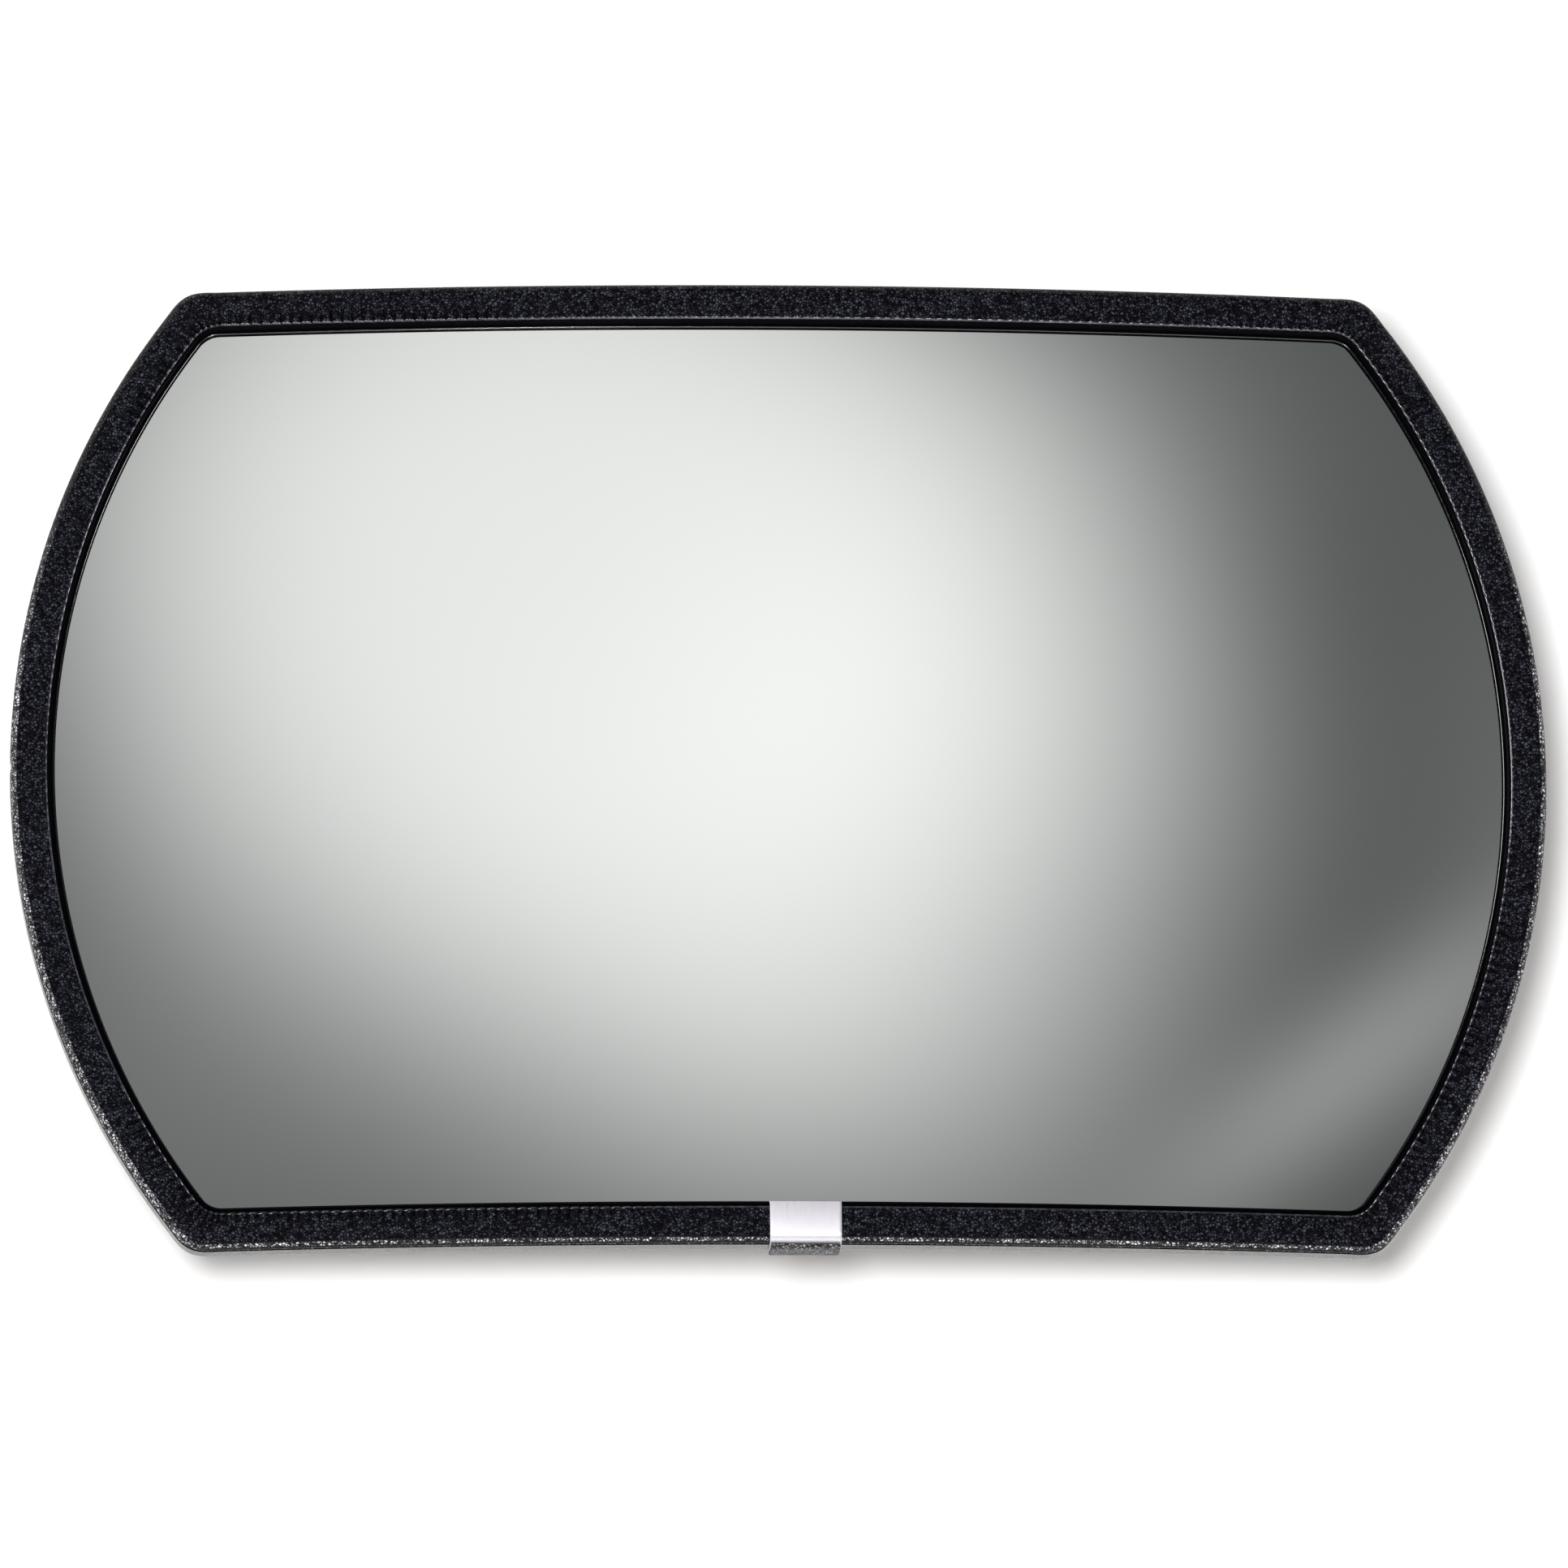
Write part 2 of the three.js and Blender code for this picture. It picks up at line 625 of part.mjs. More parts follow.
const clampOuter = CLAMP_HALF_GAP + CLAMP_SHEET;

function clampBolt(name) {
  const headBase = -(clampOuter + FIT_GAP);
  const crown = arcPoints(0, headBase, BOLT_HEAD_R, 0, -90, 4).map(([r, y]) => [
    r,
    headBase + ((y - headBase) * BOLT_HEAD_HEIGHT) / BOLT_HEAD_R,
  ]);
  crown[crown.length - 1] = [0, headBase - BOLT_HEAD_HEIGHT];
  const profile = [
    [0, BOLT_TAIL],
    [BOLT_R - 0.6, BOLT_TAIL],
    [BOLT_R, BOLT_TAIL - 0.6],
    [BOLT_R, headBase],
    ...crown,
  ];
  return piece(name, turned(profile.reverse(), 16), "zinc");
}

function boltWasher(name) {
  const low = clampOuter + FIT_GAP;
  return piece(name, ring(boltClear, BOLT_WASHER_R, low, low + WASHER_THICKNESS, 16), "zinc");
}

function wingNut(name) {
  const low = clampOuter + FIT_GAP + WASHER_THICKNESS + FIT_GAP;
  const hub = solid(
    turned([
      [0, low],
      [WING_HUB_R, low],
      [WING_HUB_R - 1, low + WING_HUB_HEIGHT],
      [0, low + WING_HUB_HEIGHT],
    ]),
  );
  const wingShape = shapeOf([
    [2, low + 1],
    [WING_HUB_R + 1, low + 1.5],
    [WING_SPAN, low + 6],
    ...arcPoints(WING_SPAN - 3, low + 9.5, 3.2, -20, 110, 6),
    [WING_HUB_R - 0.5, low + WING_HUB_HEIGHT - 0.5],
    [2, low + WING_HUB_HEIGHT - 0.5],
  ]);
  const wing = new THREE.ExtrudeGeometry(wingShape, { depth: WING_THICKNESS, bevelEnabled: false });
  wing.translate(0, 0, -WING_THICKNESS / 2);
  let nut = hub.add(solid(wing)).add(solid(wing.clone().rotateY(Math.PI)));
  nut = nut.subtract(solid(bar(boltClear, low - 10, low + 30, 16)));
  return piece(name, geometryOf(nut), "zinc");
}

// ---- Arm and wall plate ----------------------------------------------------------------------------

function wallPlate() {
  const halfWidth = WALL_PLATE_WIDTH / 2;
  const halfHeight = WALL_PLATE_HEIGHT / 2;
  const outline = roundedRectangle(halfWidth, halfHeight, WALL_PLATE_CORNER_R);
  let plate = solid(sheetXZ(outline, WALL_PLATE_THICKNESS));
  for (const x of [-WALL_HOLE_X, WALL_HOLE_X]) {
    for (const z of [-WALL_HOLE_Z, WALL_HOLE_Z]) {
      plate = plate.subtract(solid(bar(WALL_HOLE_R, -10, 10, 16).translate(x, 0, z)));
    }
  }
  return piece("wall_plate", geometryOf(plate), "zinc");
}

function armTube() {
  const inner = ARM_R - ARM_WALL;
  const domeR = BALL_R + 2 * FIT_GAP + SEAT_THICKNESS + CLAMP_SHEET;
  const low = BALL_Y + Math.sqrt(domeR ** 2 - inner ** 2) + FIT_GAP;
  return piece("arm_tube", ring(inner, ARM_R, low, -WALL_PLATE_THICKNESS - FIT_GAP), "zinc");
}

// ---- Assembly --------------------------------------------------------------------------------------

const mirror = new THREE.Group();
mirror.add(mirrorLens(), backingBoard(), edgeTrim(), trimCarrier(), jointClip(), jointSplice());
mirror.add(bridgeBracket());
screwPlaces().forEach((place, i) => mirror.add(boardScrew(i + 1, place), boardNut(i + 1, place)));

const ballJoint = new THREE.Group();
ballJoint.position.y = BALL_Y;
ballJoint.add(ballStud(), ballSeat(), studWasher(), frontClamp(), rearClamp());
ballJoint.add(studNut("stud_lock_nut", -BRIDGE_TO_BALL + 2 * FIT_GAP + WASHER_THICKNESS));
const innerNutLow = -BRIDGE_TO_BALL - BRIDGE_SHEET - FIT_GAP - STUD_NUT_HEIGHT;
ballJoint.add(studNut("stud_inner_nut", innerNutLow));
for (const [side, x] of [
  ["left", -CLAMP_BOLT_X],
  ["right", CLAMP_BOLT_X],
]) {
  const bolt = new THREE.Group();
  bolt.position.x = x;
  bolt.add(clampBolt(`clamp_bolt_${side}`), boltWasher(`clamp_washer_${side}`));
  bolt.add(wingNut(`wing_nut_${side}`));
  ballJoint.add(bolt);
}

const object = new THREE.Group();
object.add(wallPlate(), armTube(), ballJoint, mirror);

export default object;
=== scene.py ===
"""Looks of the convex security mirror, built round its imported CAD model.

The mirror hangs with its wall plate on the plane y = 0 and looks along -Y. The object's sizes
are in millimetres and become metres when a mesh is made. Camera, lights and stage are in metres.
"""

import json
from math import asin, atan2, cos, degrees, pi, radians, sin, sqrt, tan, tau

import bmesh
import bpy
import numpy as np
from mathutils import Matrix, Vector

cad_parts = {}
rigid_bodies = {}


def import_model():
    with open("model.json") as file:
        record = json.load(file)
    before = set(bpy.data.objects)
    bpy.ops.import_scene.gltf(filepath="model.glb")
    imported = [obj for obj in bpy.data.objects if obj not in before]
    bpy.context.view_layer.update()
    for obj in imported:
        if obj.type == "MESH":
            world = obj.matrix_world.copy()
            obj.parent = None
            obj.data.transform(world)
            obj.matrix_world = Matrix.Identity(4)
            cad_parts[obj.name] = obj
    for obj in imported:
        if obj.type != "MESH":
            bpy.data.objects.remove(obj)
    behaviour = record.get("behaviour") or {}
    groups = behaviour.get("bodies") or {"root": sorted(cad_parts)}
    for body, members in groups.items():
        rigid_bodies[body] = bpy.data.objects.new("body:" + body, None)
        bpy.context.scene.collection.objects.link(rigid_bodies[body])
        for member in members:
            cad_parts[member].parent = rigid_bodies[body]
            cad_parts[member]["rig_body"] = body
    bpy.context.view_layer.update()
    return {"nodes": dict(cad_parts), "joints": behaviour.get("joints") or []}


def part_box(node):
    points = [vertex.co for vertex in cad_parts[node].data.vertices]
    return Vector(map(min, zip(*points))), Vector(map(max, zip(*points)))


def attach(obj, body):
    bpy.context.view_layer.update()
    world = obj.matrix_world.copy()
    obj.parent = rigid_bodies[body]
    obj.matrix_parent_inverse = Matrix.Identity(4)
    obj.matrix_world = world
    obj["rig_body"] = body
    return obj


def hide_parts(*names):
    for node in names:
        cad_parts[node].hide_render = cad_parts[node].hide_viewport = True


MM = 0.001
SQUARE = ((-1, -1), (1, -1), (1, 1), (-1, 1))

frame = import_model()

# ---- Driving dimensions, the same as the CAD's ----

SPHERE_R = 1536
LENS_HALF_WIDTH = 304
LENS_HALF_HEIGHT = 192.5
LENS_CORNER_R = 24
LENS_THICKNESS = 3
LENS_INSET = 0.5
BOARD_THICKNESS = 3.2
BOARD_BEHIND_LENS_EDGE = 3.4
BOARD_INSET = 2
BOARD_BEND_HALF_LENGTH = 15

TRIM_OUTER_U = 3.6
TRIM_FRONT_V = -7.6
TRIM_REAR_V = 9.2
TRIM_FACE_INNER_U = -11
FRONT_SHOULDER_R = 4.2
REAR_SHOULDER_R = 2.4
INNER_CORNER_R = 0.7
TRIM_SKIN = 1.3
CHANNEL_FRONT_U = -9.7
CHANNEL_REAR_U = -8.9
CHANNEL_CHAMFER = 1.6
REAR_NOSE_U = -9.8
REAR_NOSE_R = 1.15
LENS_FOLLOWING_FROM_V = -3
BEAD_R = 0.6
BEAD_U = -13.2
BEAD_V = -1

JOINT_X = 6.8
JOINT_GAP = 0.6
FIT_GAP = 0.3
CLIP_LENGTH = 28.5
CLIP_THICKNESS = 0.5
CLIP_INNER_U = -12.3
CLIP_HOOK_V = -5.6
CLIP_REAR_U = -9
SPLICE_LENGTH = 27.6
SPLICE_THICKNESS = 1.3
SPLICE_FROM_DEG = -30

BALL_R = 12.5
NECK_R = 3.2
NECK_END = 17.5
STUD_R = 4
STUD_LENGTH = 45.5
STUD_PITCH = 1.25
SEAT_THICKNESS = 1.2
SEAT_FROM_DEG = 118
SEAT_TO_DEG = 165
CLAMP_SHEET = 2.5
CLAMP_HALF_GAP = 0.8
CLAMP_HALF_LENGTH = 39
CLAMP_HALF_HEIGHT = 19
CLAMP_OPENING_DEG = 51
CLAMP_BOLT_X = 28
CLAMP_OUTER = CLAMP_HALF_GAP + CLAMP_SHEET
BOLT_R = 3
BOLT_HEAD_R = 6.5
BOLT_HEAD_HEIGHT = 3
BOLT_TAIL = 19
BOLT_PITCH = 1
WASHER_THICKNESS = 1.4
WING_HUB_R = 5.5
WING_HUB_HEIGHT = 7.5
WING_SPAN = 12.5
WING_THICKNESS = 2.4
ARM_R = 9.5
ARM_WALL = 1.5
PLATE_HALF_WIDTH = 32
PLATE_HALF_HEIGHT = 55
PLATE_THICKNESS = 3
PLATE_CORNER_R = 8
PLATE_HOLE_R = 3.25
PLATE_HOLE_X = 20
PLATE_HOLE_Z = 42
BRIDGE_TO_BALL = 36
BRIDGE_RISE = 12
BRIDGE_SHEET = 2.5
BRIDGE_BEND_R = 4
BRIDGE_HALF_WIDTH = 20
BRIDGE_HALF_TOP = 27
BRIDGE_HALF_FOOT = 35
BRIDGE_HALF_HEIGHT = 75
SCREW_X = 11
SCREW_Z = 63
SCREW_R = 2.5
SCREW_PITCH = 0.8
SCREW_HEAD_R = 4.6
SCREW_HEAD_HEIGHT = 2.8
SCREW_NUT_R = 4.7
SCREW_NUT_HEIGHT = 3.5
STUD_WASHER_R = 8
STUD_NUT_R = 7.5
STUD_NUT_HEIGHT = 5

# ---- Places, read from the frame ----


def joint_centre(name):
    joint = next(j for j in frame["joints"] if j["name"] == name)
    return Vector(joint["pos_m"]) / MM


BALL = joint_centre("ball_pan")
LENS_APEX_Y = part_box("mirror_lens")[0].y / MM
SPHERE_CENTRE_Y = LENS_APEX_Y + SPHERE_R
EDGE_DEPTH = sqrt(SPHERE_R**2 - LENS_HALF_WIDTH**2)
LENS_EDGE_Y = SPHERE_CENTRE_Y - EDGE_DEPTH
CHORD_END_X = sqrt(LENS_HALF_WIDTH**2 - LENS_HALF_HEIGHT**2)
BRIDGE_BACK_Y = BALL.y - BRIDGE_TO_BALL
BRIDGE_FOOT_Y = BRIDGE_BACK_Y - BRIDGE_RISE
BOARD_BACK_Y = BRIDGE_FOOT_Y - FIT_GAP
BOARD_FRONT_Y = BOARD_BACK_Y - BOARD_THICKNESS

# ---- Node and mesh helpers ----


def add(tree, kind, inputs=(), **settings):
    """Adds a node, sets or links its inputs (by index or name) and gives its outputs."""
    made = tree.nodes.new("ShaderNode" + kind)
    for key, value in settings.items():
        setattr(made, key, value)
    for key, value in inputs.items() if isinstance(inputs, dict) else enumerate(inputs):
        if isinstance(value, bpy.types.NodeSocket):
            tree.links.new(value, made.inputs[key])
        elif value is not None:
            made.inputs[key].default_value = value
    return made.outputs


def math(tree, operation, *values):
    return add(tree, "Math", values, operation=operation)[0]


def times(tree, *factors):
    return math(tree, "MULTIPLY", *factors)


def blank_material(name):
    material = bpy.data.materials.new(name)
    material.use_nodes = True
    material.node_tree.nodes.clear()
    return material, material.node_tree


def surface(tree, shader):
    add(tree, "OutputMaterial", {"Surface": shader})


def millimetres(tree, stretch=(1, 1, 1)):
    """The point on the piece in millimetres, with each axis scaled by stretch."""
    place = add(tree, "TexCoord")["Object"]
    scale = [s / MM for s in stretch]
    return add(tree, "VectorMath", [place, scale], operation="MULTIPLY")[0]


def noise(tree, where, scale, detail=3.0, roughness=0.55, distortion=0.0):
    inputs = {"Vector": where, "Scale": scale, "Detail": detail}
    inputs |= {"Roughness": roughness, "Distortion": distortion}
    return add(tree, "TexNoise", inputs)["Fac"]


def unshaded_share(tree):
    """1 where the painted glints show, down to 0 under painted shade: deep in a rib's fold and on
    the shoulder away from its painted highlight.
    """
    painted_shade = add(tree, "Attribute", attribute_name="painted_shade")["Fac"]
    return math(tree, "SUBTRACT", 1.0, painted_shade)


def remap(tree, value, low, high, to_low, to_high):
    ends = [value, low, high, to_low, to_high]
    return add(tree, "MapRange", ends, interpolation_type="SMOOTHSTEP")[0]


def mix_colour(tree, amount, first, second):
    first, second = ((*c, 1) if isinstance(c, tuple) else c for c in (first, second))
    return add(tree, "Mix", {0: amount, 6: first, 7: second}, data_type="RGBA")[2]


def bump(tree, height, depth_mm, strength):
    inputs = {"Height": height, "Distance": depth_mm * MM, "Strength": strength}
    return add(tree, "Bump", inputs)[0]


def material_maker(recipe):
    """Turns a recipe, which gives a principled shader's inputs, into a maker of materials.
    A recipe gets the node tree, the point on the piece in millimetres, and its own settings."""

    def make(name, *settings):
        material, tree = blank_material(name)
        inputs = recipe(tree, millimetres(tree), *settings)
        inputs = {key.replace("_", " "): value for key, value in inputs.items()}
        surface(tree, add(tree, "BsdfPrincipled", inputs)[0])
        return material

    return make


def grid_faces(rows, columns, wrap_rows=False, wrap_columns=False):
    """Quads over a grid of points that are numbered row by row."""
    i = np.arange(rows if wrap_rows else rows - 1)[:, None]
    j = np.arange(columns if wrap_columns else columns - 1)[None, :]
    i2, j2 = (i + 1) % rows, (j + 1) % columns
    corners = (i * columns + j, i * columns + j2, i2 * columns + j2, i2 * columns + j)
    return np.stack(corners, -1).reshape(-1, 4).tolist()


def new_object(name, data):
    made = bpy.data.objects.new(name, data)
    bpy.context.scene.collection.objects.link(made)
    return made


def mesh_object(name, points, faces, sharp_deg=35, slots=None, folds_and_shade=None):
    """A smooth-shaded closed mesh from points in millimetres. slots gives each face's material,
    and the last argument is 0 to 1 at each point: how much painted shade there hides the painted
    glints on the grain's tops."""
    mesh = bpy.data.meshes.new(name)
    mesh.from_pydata((np.asarray(points, float) * MM).tolist(), [], faces)
    if slots is not None:
        mesh.polygons.foreach_set("material_index", slots)
    if folds_and_shade is not None:
        mesh.attributes.new("painted_shade", "FLOAT", "POINT").data.foreach_set("value", folds_and_shade)
    tidy_mesh(mesh, sharp_deg)
    return new_object(name, mesh)


def tidy_mesh(mesh, sharp_deg):
    shape = bmesh.new()
    shape.from_mesh(mesh)
    bmesh.ops.remove_doubles(shape, verts=shape.verts, dist=1e-7)
    bmesh.ops.dissolve_degenerate(shape, edges=shape.edges, dist=1e-8)
    bmesh.ops.recalc_face_normals(shape, faces=shape.faces)
    shape.to_mesh(mesh)
    shape.free()
    smooth(mesh, sharp_deg)


def smooth(mesh, sharp_deg):
    mesh.shade_smooth()
    mesh.set_sharp_from_angle(angle=radians(sharp_deg))


def apply_modifiers(piece, sharp_deg=35):
    graph = bpy.context.evaluated_depsgraph_get()
    mesh = bpy.data.meshes.new_from_object(piece.evaluated_get(graph))
    piece.modifiers.clear()
    piece.data = mesh
    tidy_mesh(mesh, sharp_deg)


def combine(piece, operation, *tools):
    """Cuts, joins or intersects a piece with other meshes, which are used up."""
    for tool in tools:
        made = piece.modifiers.new("combine", "BOOLEAN")
        made.operation = operation
        made.solver = "EXACT"
        made.object = tool
    apply_modifiers(piece)
    for tool in tools:
        bpy.data.objects.remove(tool)


def round_edges(piece, width_mm, segments=3):
    """Rounds the edges that turn by more than 50 degrees."""
    made = piece.modifiers.new("round", "BEVEL")
    made.width = width_mm * MM
    made.segments = segments
    made.limit_method = "ANGLE"
    made.angle_limit = radians(50)
    made.use_clamp_overlap = True
    apply_modifiers(piece)


def move(piece, x=0, y=0, z=0):
    piece.data.transform(Matrix.Translation(Vector((x, y, z)) * MM))
    return piece


def arc(x, y, radius, from_deg, to_deg, steps):
    angles = np.radians(np.linspace(from_deg, to_deg, steps + 1))
    return [(x + radius * cos(a), y + radius * sin(a)) for a in angles]


def line(start, end, steps):
    """Points from start up to, but not at, end."""
    t = np.linspace(0, 1, steps, endpoint=False)[:, None]
    return [tuple(p) for p in np.array(start) * (1 - t) + np.array(end) * t]


def whole_turn(steps):
    """Angles round a whole turn, as a column."""
    return np.arange(steps)[:, None] * tau / steps


def repeated(profile, rows):
    """A profile's two coordinates, each repeated in that many rows."""
    return (np.repeat(np.array([column], float), rows, 0) for column in zip(*profile))


def ringed(name, theta, radius, height, closed=True, sharp_deg=35):
    """A mesh round the Y axis, from a row of radii and heights at each angle."""
    points = np.stack([radius * np.sin(theta), height, radius * np.cos(theta)], -1).reshape(-1, 3)
    faces = grid_faces(*radius.shape, wrap_rows=True, wrap_columns=closed)
    return mesh_object(name, points, faces, sharp_deg)


def turned(name, profile, steps=96, closed=False, thread=None):
    """A turned piece on the Y axis from (radius, y) points. thread is (low, high, pitch, depth)."""
    theta = whole_turn(steps)
    radius, height = repeated(profile, steps)
    if thread:
        radius = radius - thread_depth(theta, height, *thread)
    return ringed(name, theta, radius, height, closed)


def thread_depth(theta, height, low, high, pitch, depth):
    """How far a screw thread is cut in at each point, fading out at its two ends."""
    wave = np.abs(((height / pitch + theta / tau) % 1) * 2 - 1)
    fade = np.clip(np.minimum(height - low, high - height) / pitch, 0, 1)
    return depth * np.clip(wave * 1.4 - 0.2, 0, 1) * fade


def prism(name, first, second):
    """A closed piece between two matching outlines of (x, y, z) points."""
    count = len(first)
    faces = grid_faces(2, count, wrap_columns=True)
    faces += [list(range(count)), list(range(count, 2 * count))]
    return mesh_object(name, first + second, faces)


def extruded(name, outline, low, high):
    """A straight prism along Y over an outline of (x, z) points."""
    return prism(name, *([(x, y, z) for x, z in outline] for y in (low, high)))


def rounded_rectangle(half_width, half_height, radius, steps=12):
    x, z = half_width - radius, half_height - radius
    centres = ((x, z), (-x, z), (-x, -z), (x, -z))
    quarters = (arc(*c, radius, 90 * i, 90 * i + 90, steps) for i, c in enumerate(centres))
    return [point for quarter in quarters for point in quarter]


def drill(radius, x, z, low, high):
    steps = 48
    return extruded("drill", arc(x, z, radius, 0, 360 - 360 / steps, steps - 1), low, high)


def drill_holes(piece, radius, places, low, high):
    combine(piece, "DIFFERENCE", *[drill(radius, x, z, low, high) for x, z in places])


def settle(piece, node, slot, *materials):
    """The piece stands for a CAD node and rides on that node's body. The slot argument is not used.
    """
    for material in materials:
        piece.data.materials.append(material)
    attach(piece, frame["nodes"][node]["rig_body"])
    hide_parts(node)


def settle_sheet(piece, node):
    settle(piece, node, "zinc_steel", ZINC_SHEET)


def settle_fastener(piece, node):
    settle(piece, node, "zinc_hardware", ZINC_FASTENER)


# ---- Materials ----

GRAIN_CELL = 1.15
# The darkest vinyl: painted shade in the grain's gaps and in the ribs' folds, and the dark end of
# the other finishes' random tone.
GAP_VINYL = (0.0008, 0.0008, 0.0014)
BLACK_VINYL = (0.0025, 0.0025, 0.0045)
# Colour of the painted glints on the grain's tops of the trim's face.
PAINTED_SHEEN_VINYL = (0.050, 0.053, 0.072)
# Colour of the painted highlight along the trim's outer shoulder.
PAINTED_HIGHLIGHT_VINYL = (0.86, 0.83, 0.88)
# Colour of the painted glints on the splice's grain tops.
SPLICE_GLINT_VINYL = (0.36, 0.35, 0.38)
# Each finish's index of refraction, its roughness and, if it has a grain, the colour of the painted
# glints on the grain's tops.
GRAINED_LOOK = (1.08, 0.4, PAINTED_SHEEN_VINYL)
SHOULDER_HIGHLIGHT_LOOK = (1.2, 0.25, PAINTED_HIGHLIGHT_VINYL)
SPLICE_GLINT_LOOK = (1.3, 0.3, SPLICE_GLINT_VINYL)
SMOOTH_LOOK = (1.06, 0.3)
CREST_LOOK = (1.5, 0.12)


@material_maker
def embossed_vinyl(tree, where, index, roughness, sheen):
    """Black vinyl embossed with a fine pebble grain. Its tops are painted lighter as painted
    glints, and its gaps darker as painted shade.
    """
    wander = add(tree, "TexNoise", {"Vector": where, "Scale": 0.5, "Detail": 2.0})["Color"]
    drift = add(tree, "VectorMath", [where, wander], operation="ADD")[0]
    inputs = {"Vector": drift, "Scale": 1 / GRAIN_CELL, "Randomness": 1.0}
    cells = add(tree, "TexVoronoi", inputs, feature="DISTANCE_TO_EDGE")["Distance"]
    each = add(tree, "TexVoronoi", inputs)["Color"]
    chance = add(tree, "SeparateColor", [each])[0]
    domes = remap(tree, cells, 0.0, 0.34, 0.0, 1.0)
    wrinkle = noise(tree, where, 1.6, 3.0, 0.6)
    height = math(tree, "ADD", domes, times(tree, wrinkle, 0.9))
    patches = remap(tree, noise(tree, where, 0.09, 4.0), 0.3, 0.7, 0.7, 1.0)
    lit = times(tree, remap(tree, chance, 0.0, 1.0, 0.0, 1.4), patches)
    # Painted shade hides the painted glints in the ribs' folds and off the shoulder's painted
    # highlight.
    lit = times(tree, lit, unshaded_share(tree))
    # Painted glints: the grain's tops are painted lighter, more on some cells than on others.
    painted_glints = times(tree, remap(tree, cells, 0.04, 0.3, 0.0, 1.0), lit)
    # The gaps between the domes are painted darker, as painted shade.
    colour = mix_colour(tree, domes, GAP_VINYL, BLACK_VINYL)
    return dict(
        Base_Color=mix_colour(tree, painted_glints, colour, sheen),
        Roughness=remap(tree, domes, 0.0, 1.0, roughness + 0.15, roughness),
        IOR=index,
        Normal=bump(tree, height, 0.3, 0.9),
    )


@material_maker
def stretched_vinyl(tree, where):
    """The same vinyl drawn tight round the trim's outer wall, its grain pulled nearly flat."""
    grain = noise(tree, where, 0.9, 4.0, 0.6)
    return dict(
        Base_Color=mix_colour(tree, grain, GAP_VINYL, (0.020, 0.019, 0.023)),
        Roughness=remap(tree, grain, 0.3, 0.7, 0.2, 0.34),
        IOR=1.5,
        Normal=bump(tree, grain, 0.06, 0.5),
    )


@material_maker
def smooth_vinyl(tree, where, index, roughness):
    """The trim's lip and inside, the same vinyl without the grain and in the shade."""
    streaks = noise(tree, where, 0.3, 4.0)
    return dict(
        Base_Color=mix_colour(tree, streaks, GAP_VINYL, (0.002, 0.002, 0.003)),
        Roughness=remap(tree, noise(tree, where, 0.8), 0.3, 0.7, roughness, roughness + 0.12),
        IOR=index,
        Normal=bump(tree, noise(tree, where, 0.6, 2.0), 0.06, 0.5),
    )


@material_maker
def polished_vinyl(tree, where):
    """The rolled edge of the face, rubbed smooth, with painted highlights on the lands between the
    ribs and painted shade in their folds.
    """
    patches = remap(tree, noise(tree, where, 0.2), 0.3, 0.7, 0.3, 1.0)
    # Painted highlights on the lands, cut by painted shade in the folds.
    painted_dashes = times(tree, unshaded_share(tree), patches)
    return dict(
        Base_Color=mix_colour(tree, painted_dashes, GAP_VINYL, (0.055, 0.055, 0.07)),
        Roughness=remap(tree, noise(tree, where, 0.8), 0.3, 0.7, 0.2, 0.32),
        IOR=1.45,
        Normal=bump(tree, noise(tree, where, 0.6, 2.0), 0.06, 0.5),
    )


@material_maker
def mirror_face(tree, where):
    """Silvered sheet under a clear face, with the faint waves and haze of a formed sheet."""
    patches = noise(tree, where, 0.006)
    haze = noise(tree, where, 0.02, 5.0, 0.65)
    return dict(
        Base_Color=mix_colour(tree, patches, (0.885, 0.900, 0.885), (0.915, 0.915, 0.905)),
        Metallic=1.0,
        Roughness=remap(tree, haze, 0.35, 0.75, 0.012, 0.02),
        Coat_Weight=0.25,
        Coat_Roughness=0.02,
        Normal=bump(tree, noise(tree, where, 0.008, 1.0), 0.12, 0.35),
    )


@material_maker
def mirror_back(tree, where):
    """Grey protective paint over the silvering."""
    mottle = noise(tree, where, 0.15, 5.0)
    return dict(
        Base_Color=mix_colour(tree, mottle, (0.16, 0.17, 0.17), (0.22, 0.23, 0.23)),
        Roughness=remap(tree, mottle, 0.2, 0.8, 0.45, 0.65),
        Normal=bump(tree, noise(tree, where, 1.2), 0.08, 0.5),
    )


SCREEN_PITCH = 1.4


@material_maker
def hardboard(tree, where):
    """Brown pressed fibre board with the fine mesh print that its press screen leaves."""
    parts = add(tree, "SeparateXYZ", [where])
    turn = tau / SCREEN_PITCH
    warp = math(tree, "SINE", times(tree, parts[0], turn))
    weft = math(tree, "SINE", times(tree, parts[2], turn))
    screen = times(tree, warp, weft)
    fibres = noise(tree, millimetres(tree, (0.35, 1, 1.3)), 0.9, 6.0, 0.7, 0.6)
    cloud = noise(tree, where, 0.02, 4.0)
    flecks = remap(tree, noise(tree, where, 0.8, 5.0, 0.75), 0.62, 0.74, 0.0, 0.7)
    colour = mix_colour(tree, cloud, (0.085, 0.044, 0.022), (0.135, 0.074, 0.038))
    colour = mix_colour(tree, fibres, colour, (0.165, 0.098, 0.055))
    colour = mix_colour(tree, flecks, colour, (0.035, 0.018, 0.010))
    height = math(tree, "ADD", times(tree, screen, 0.35), fibres)
    return dict(
        Base_Color=colour,
        Roughness=remap(tree, fibres, 0.3, 0.7, 0.62, 0.85),
        Normal=bump(tree, height, 0.25, 0.8),
    )


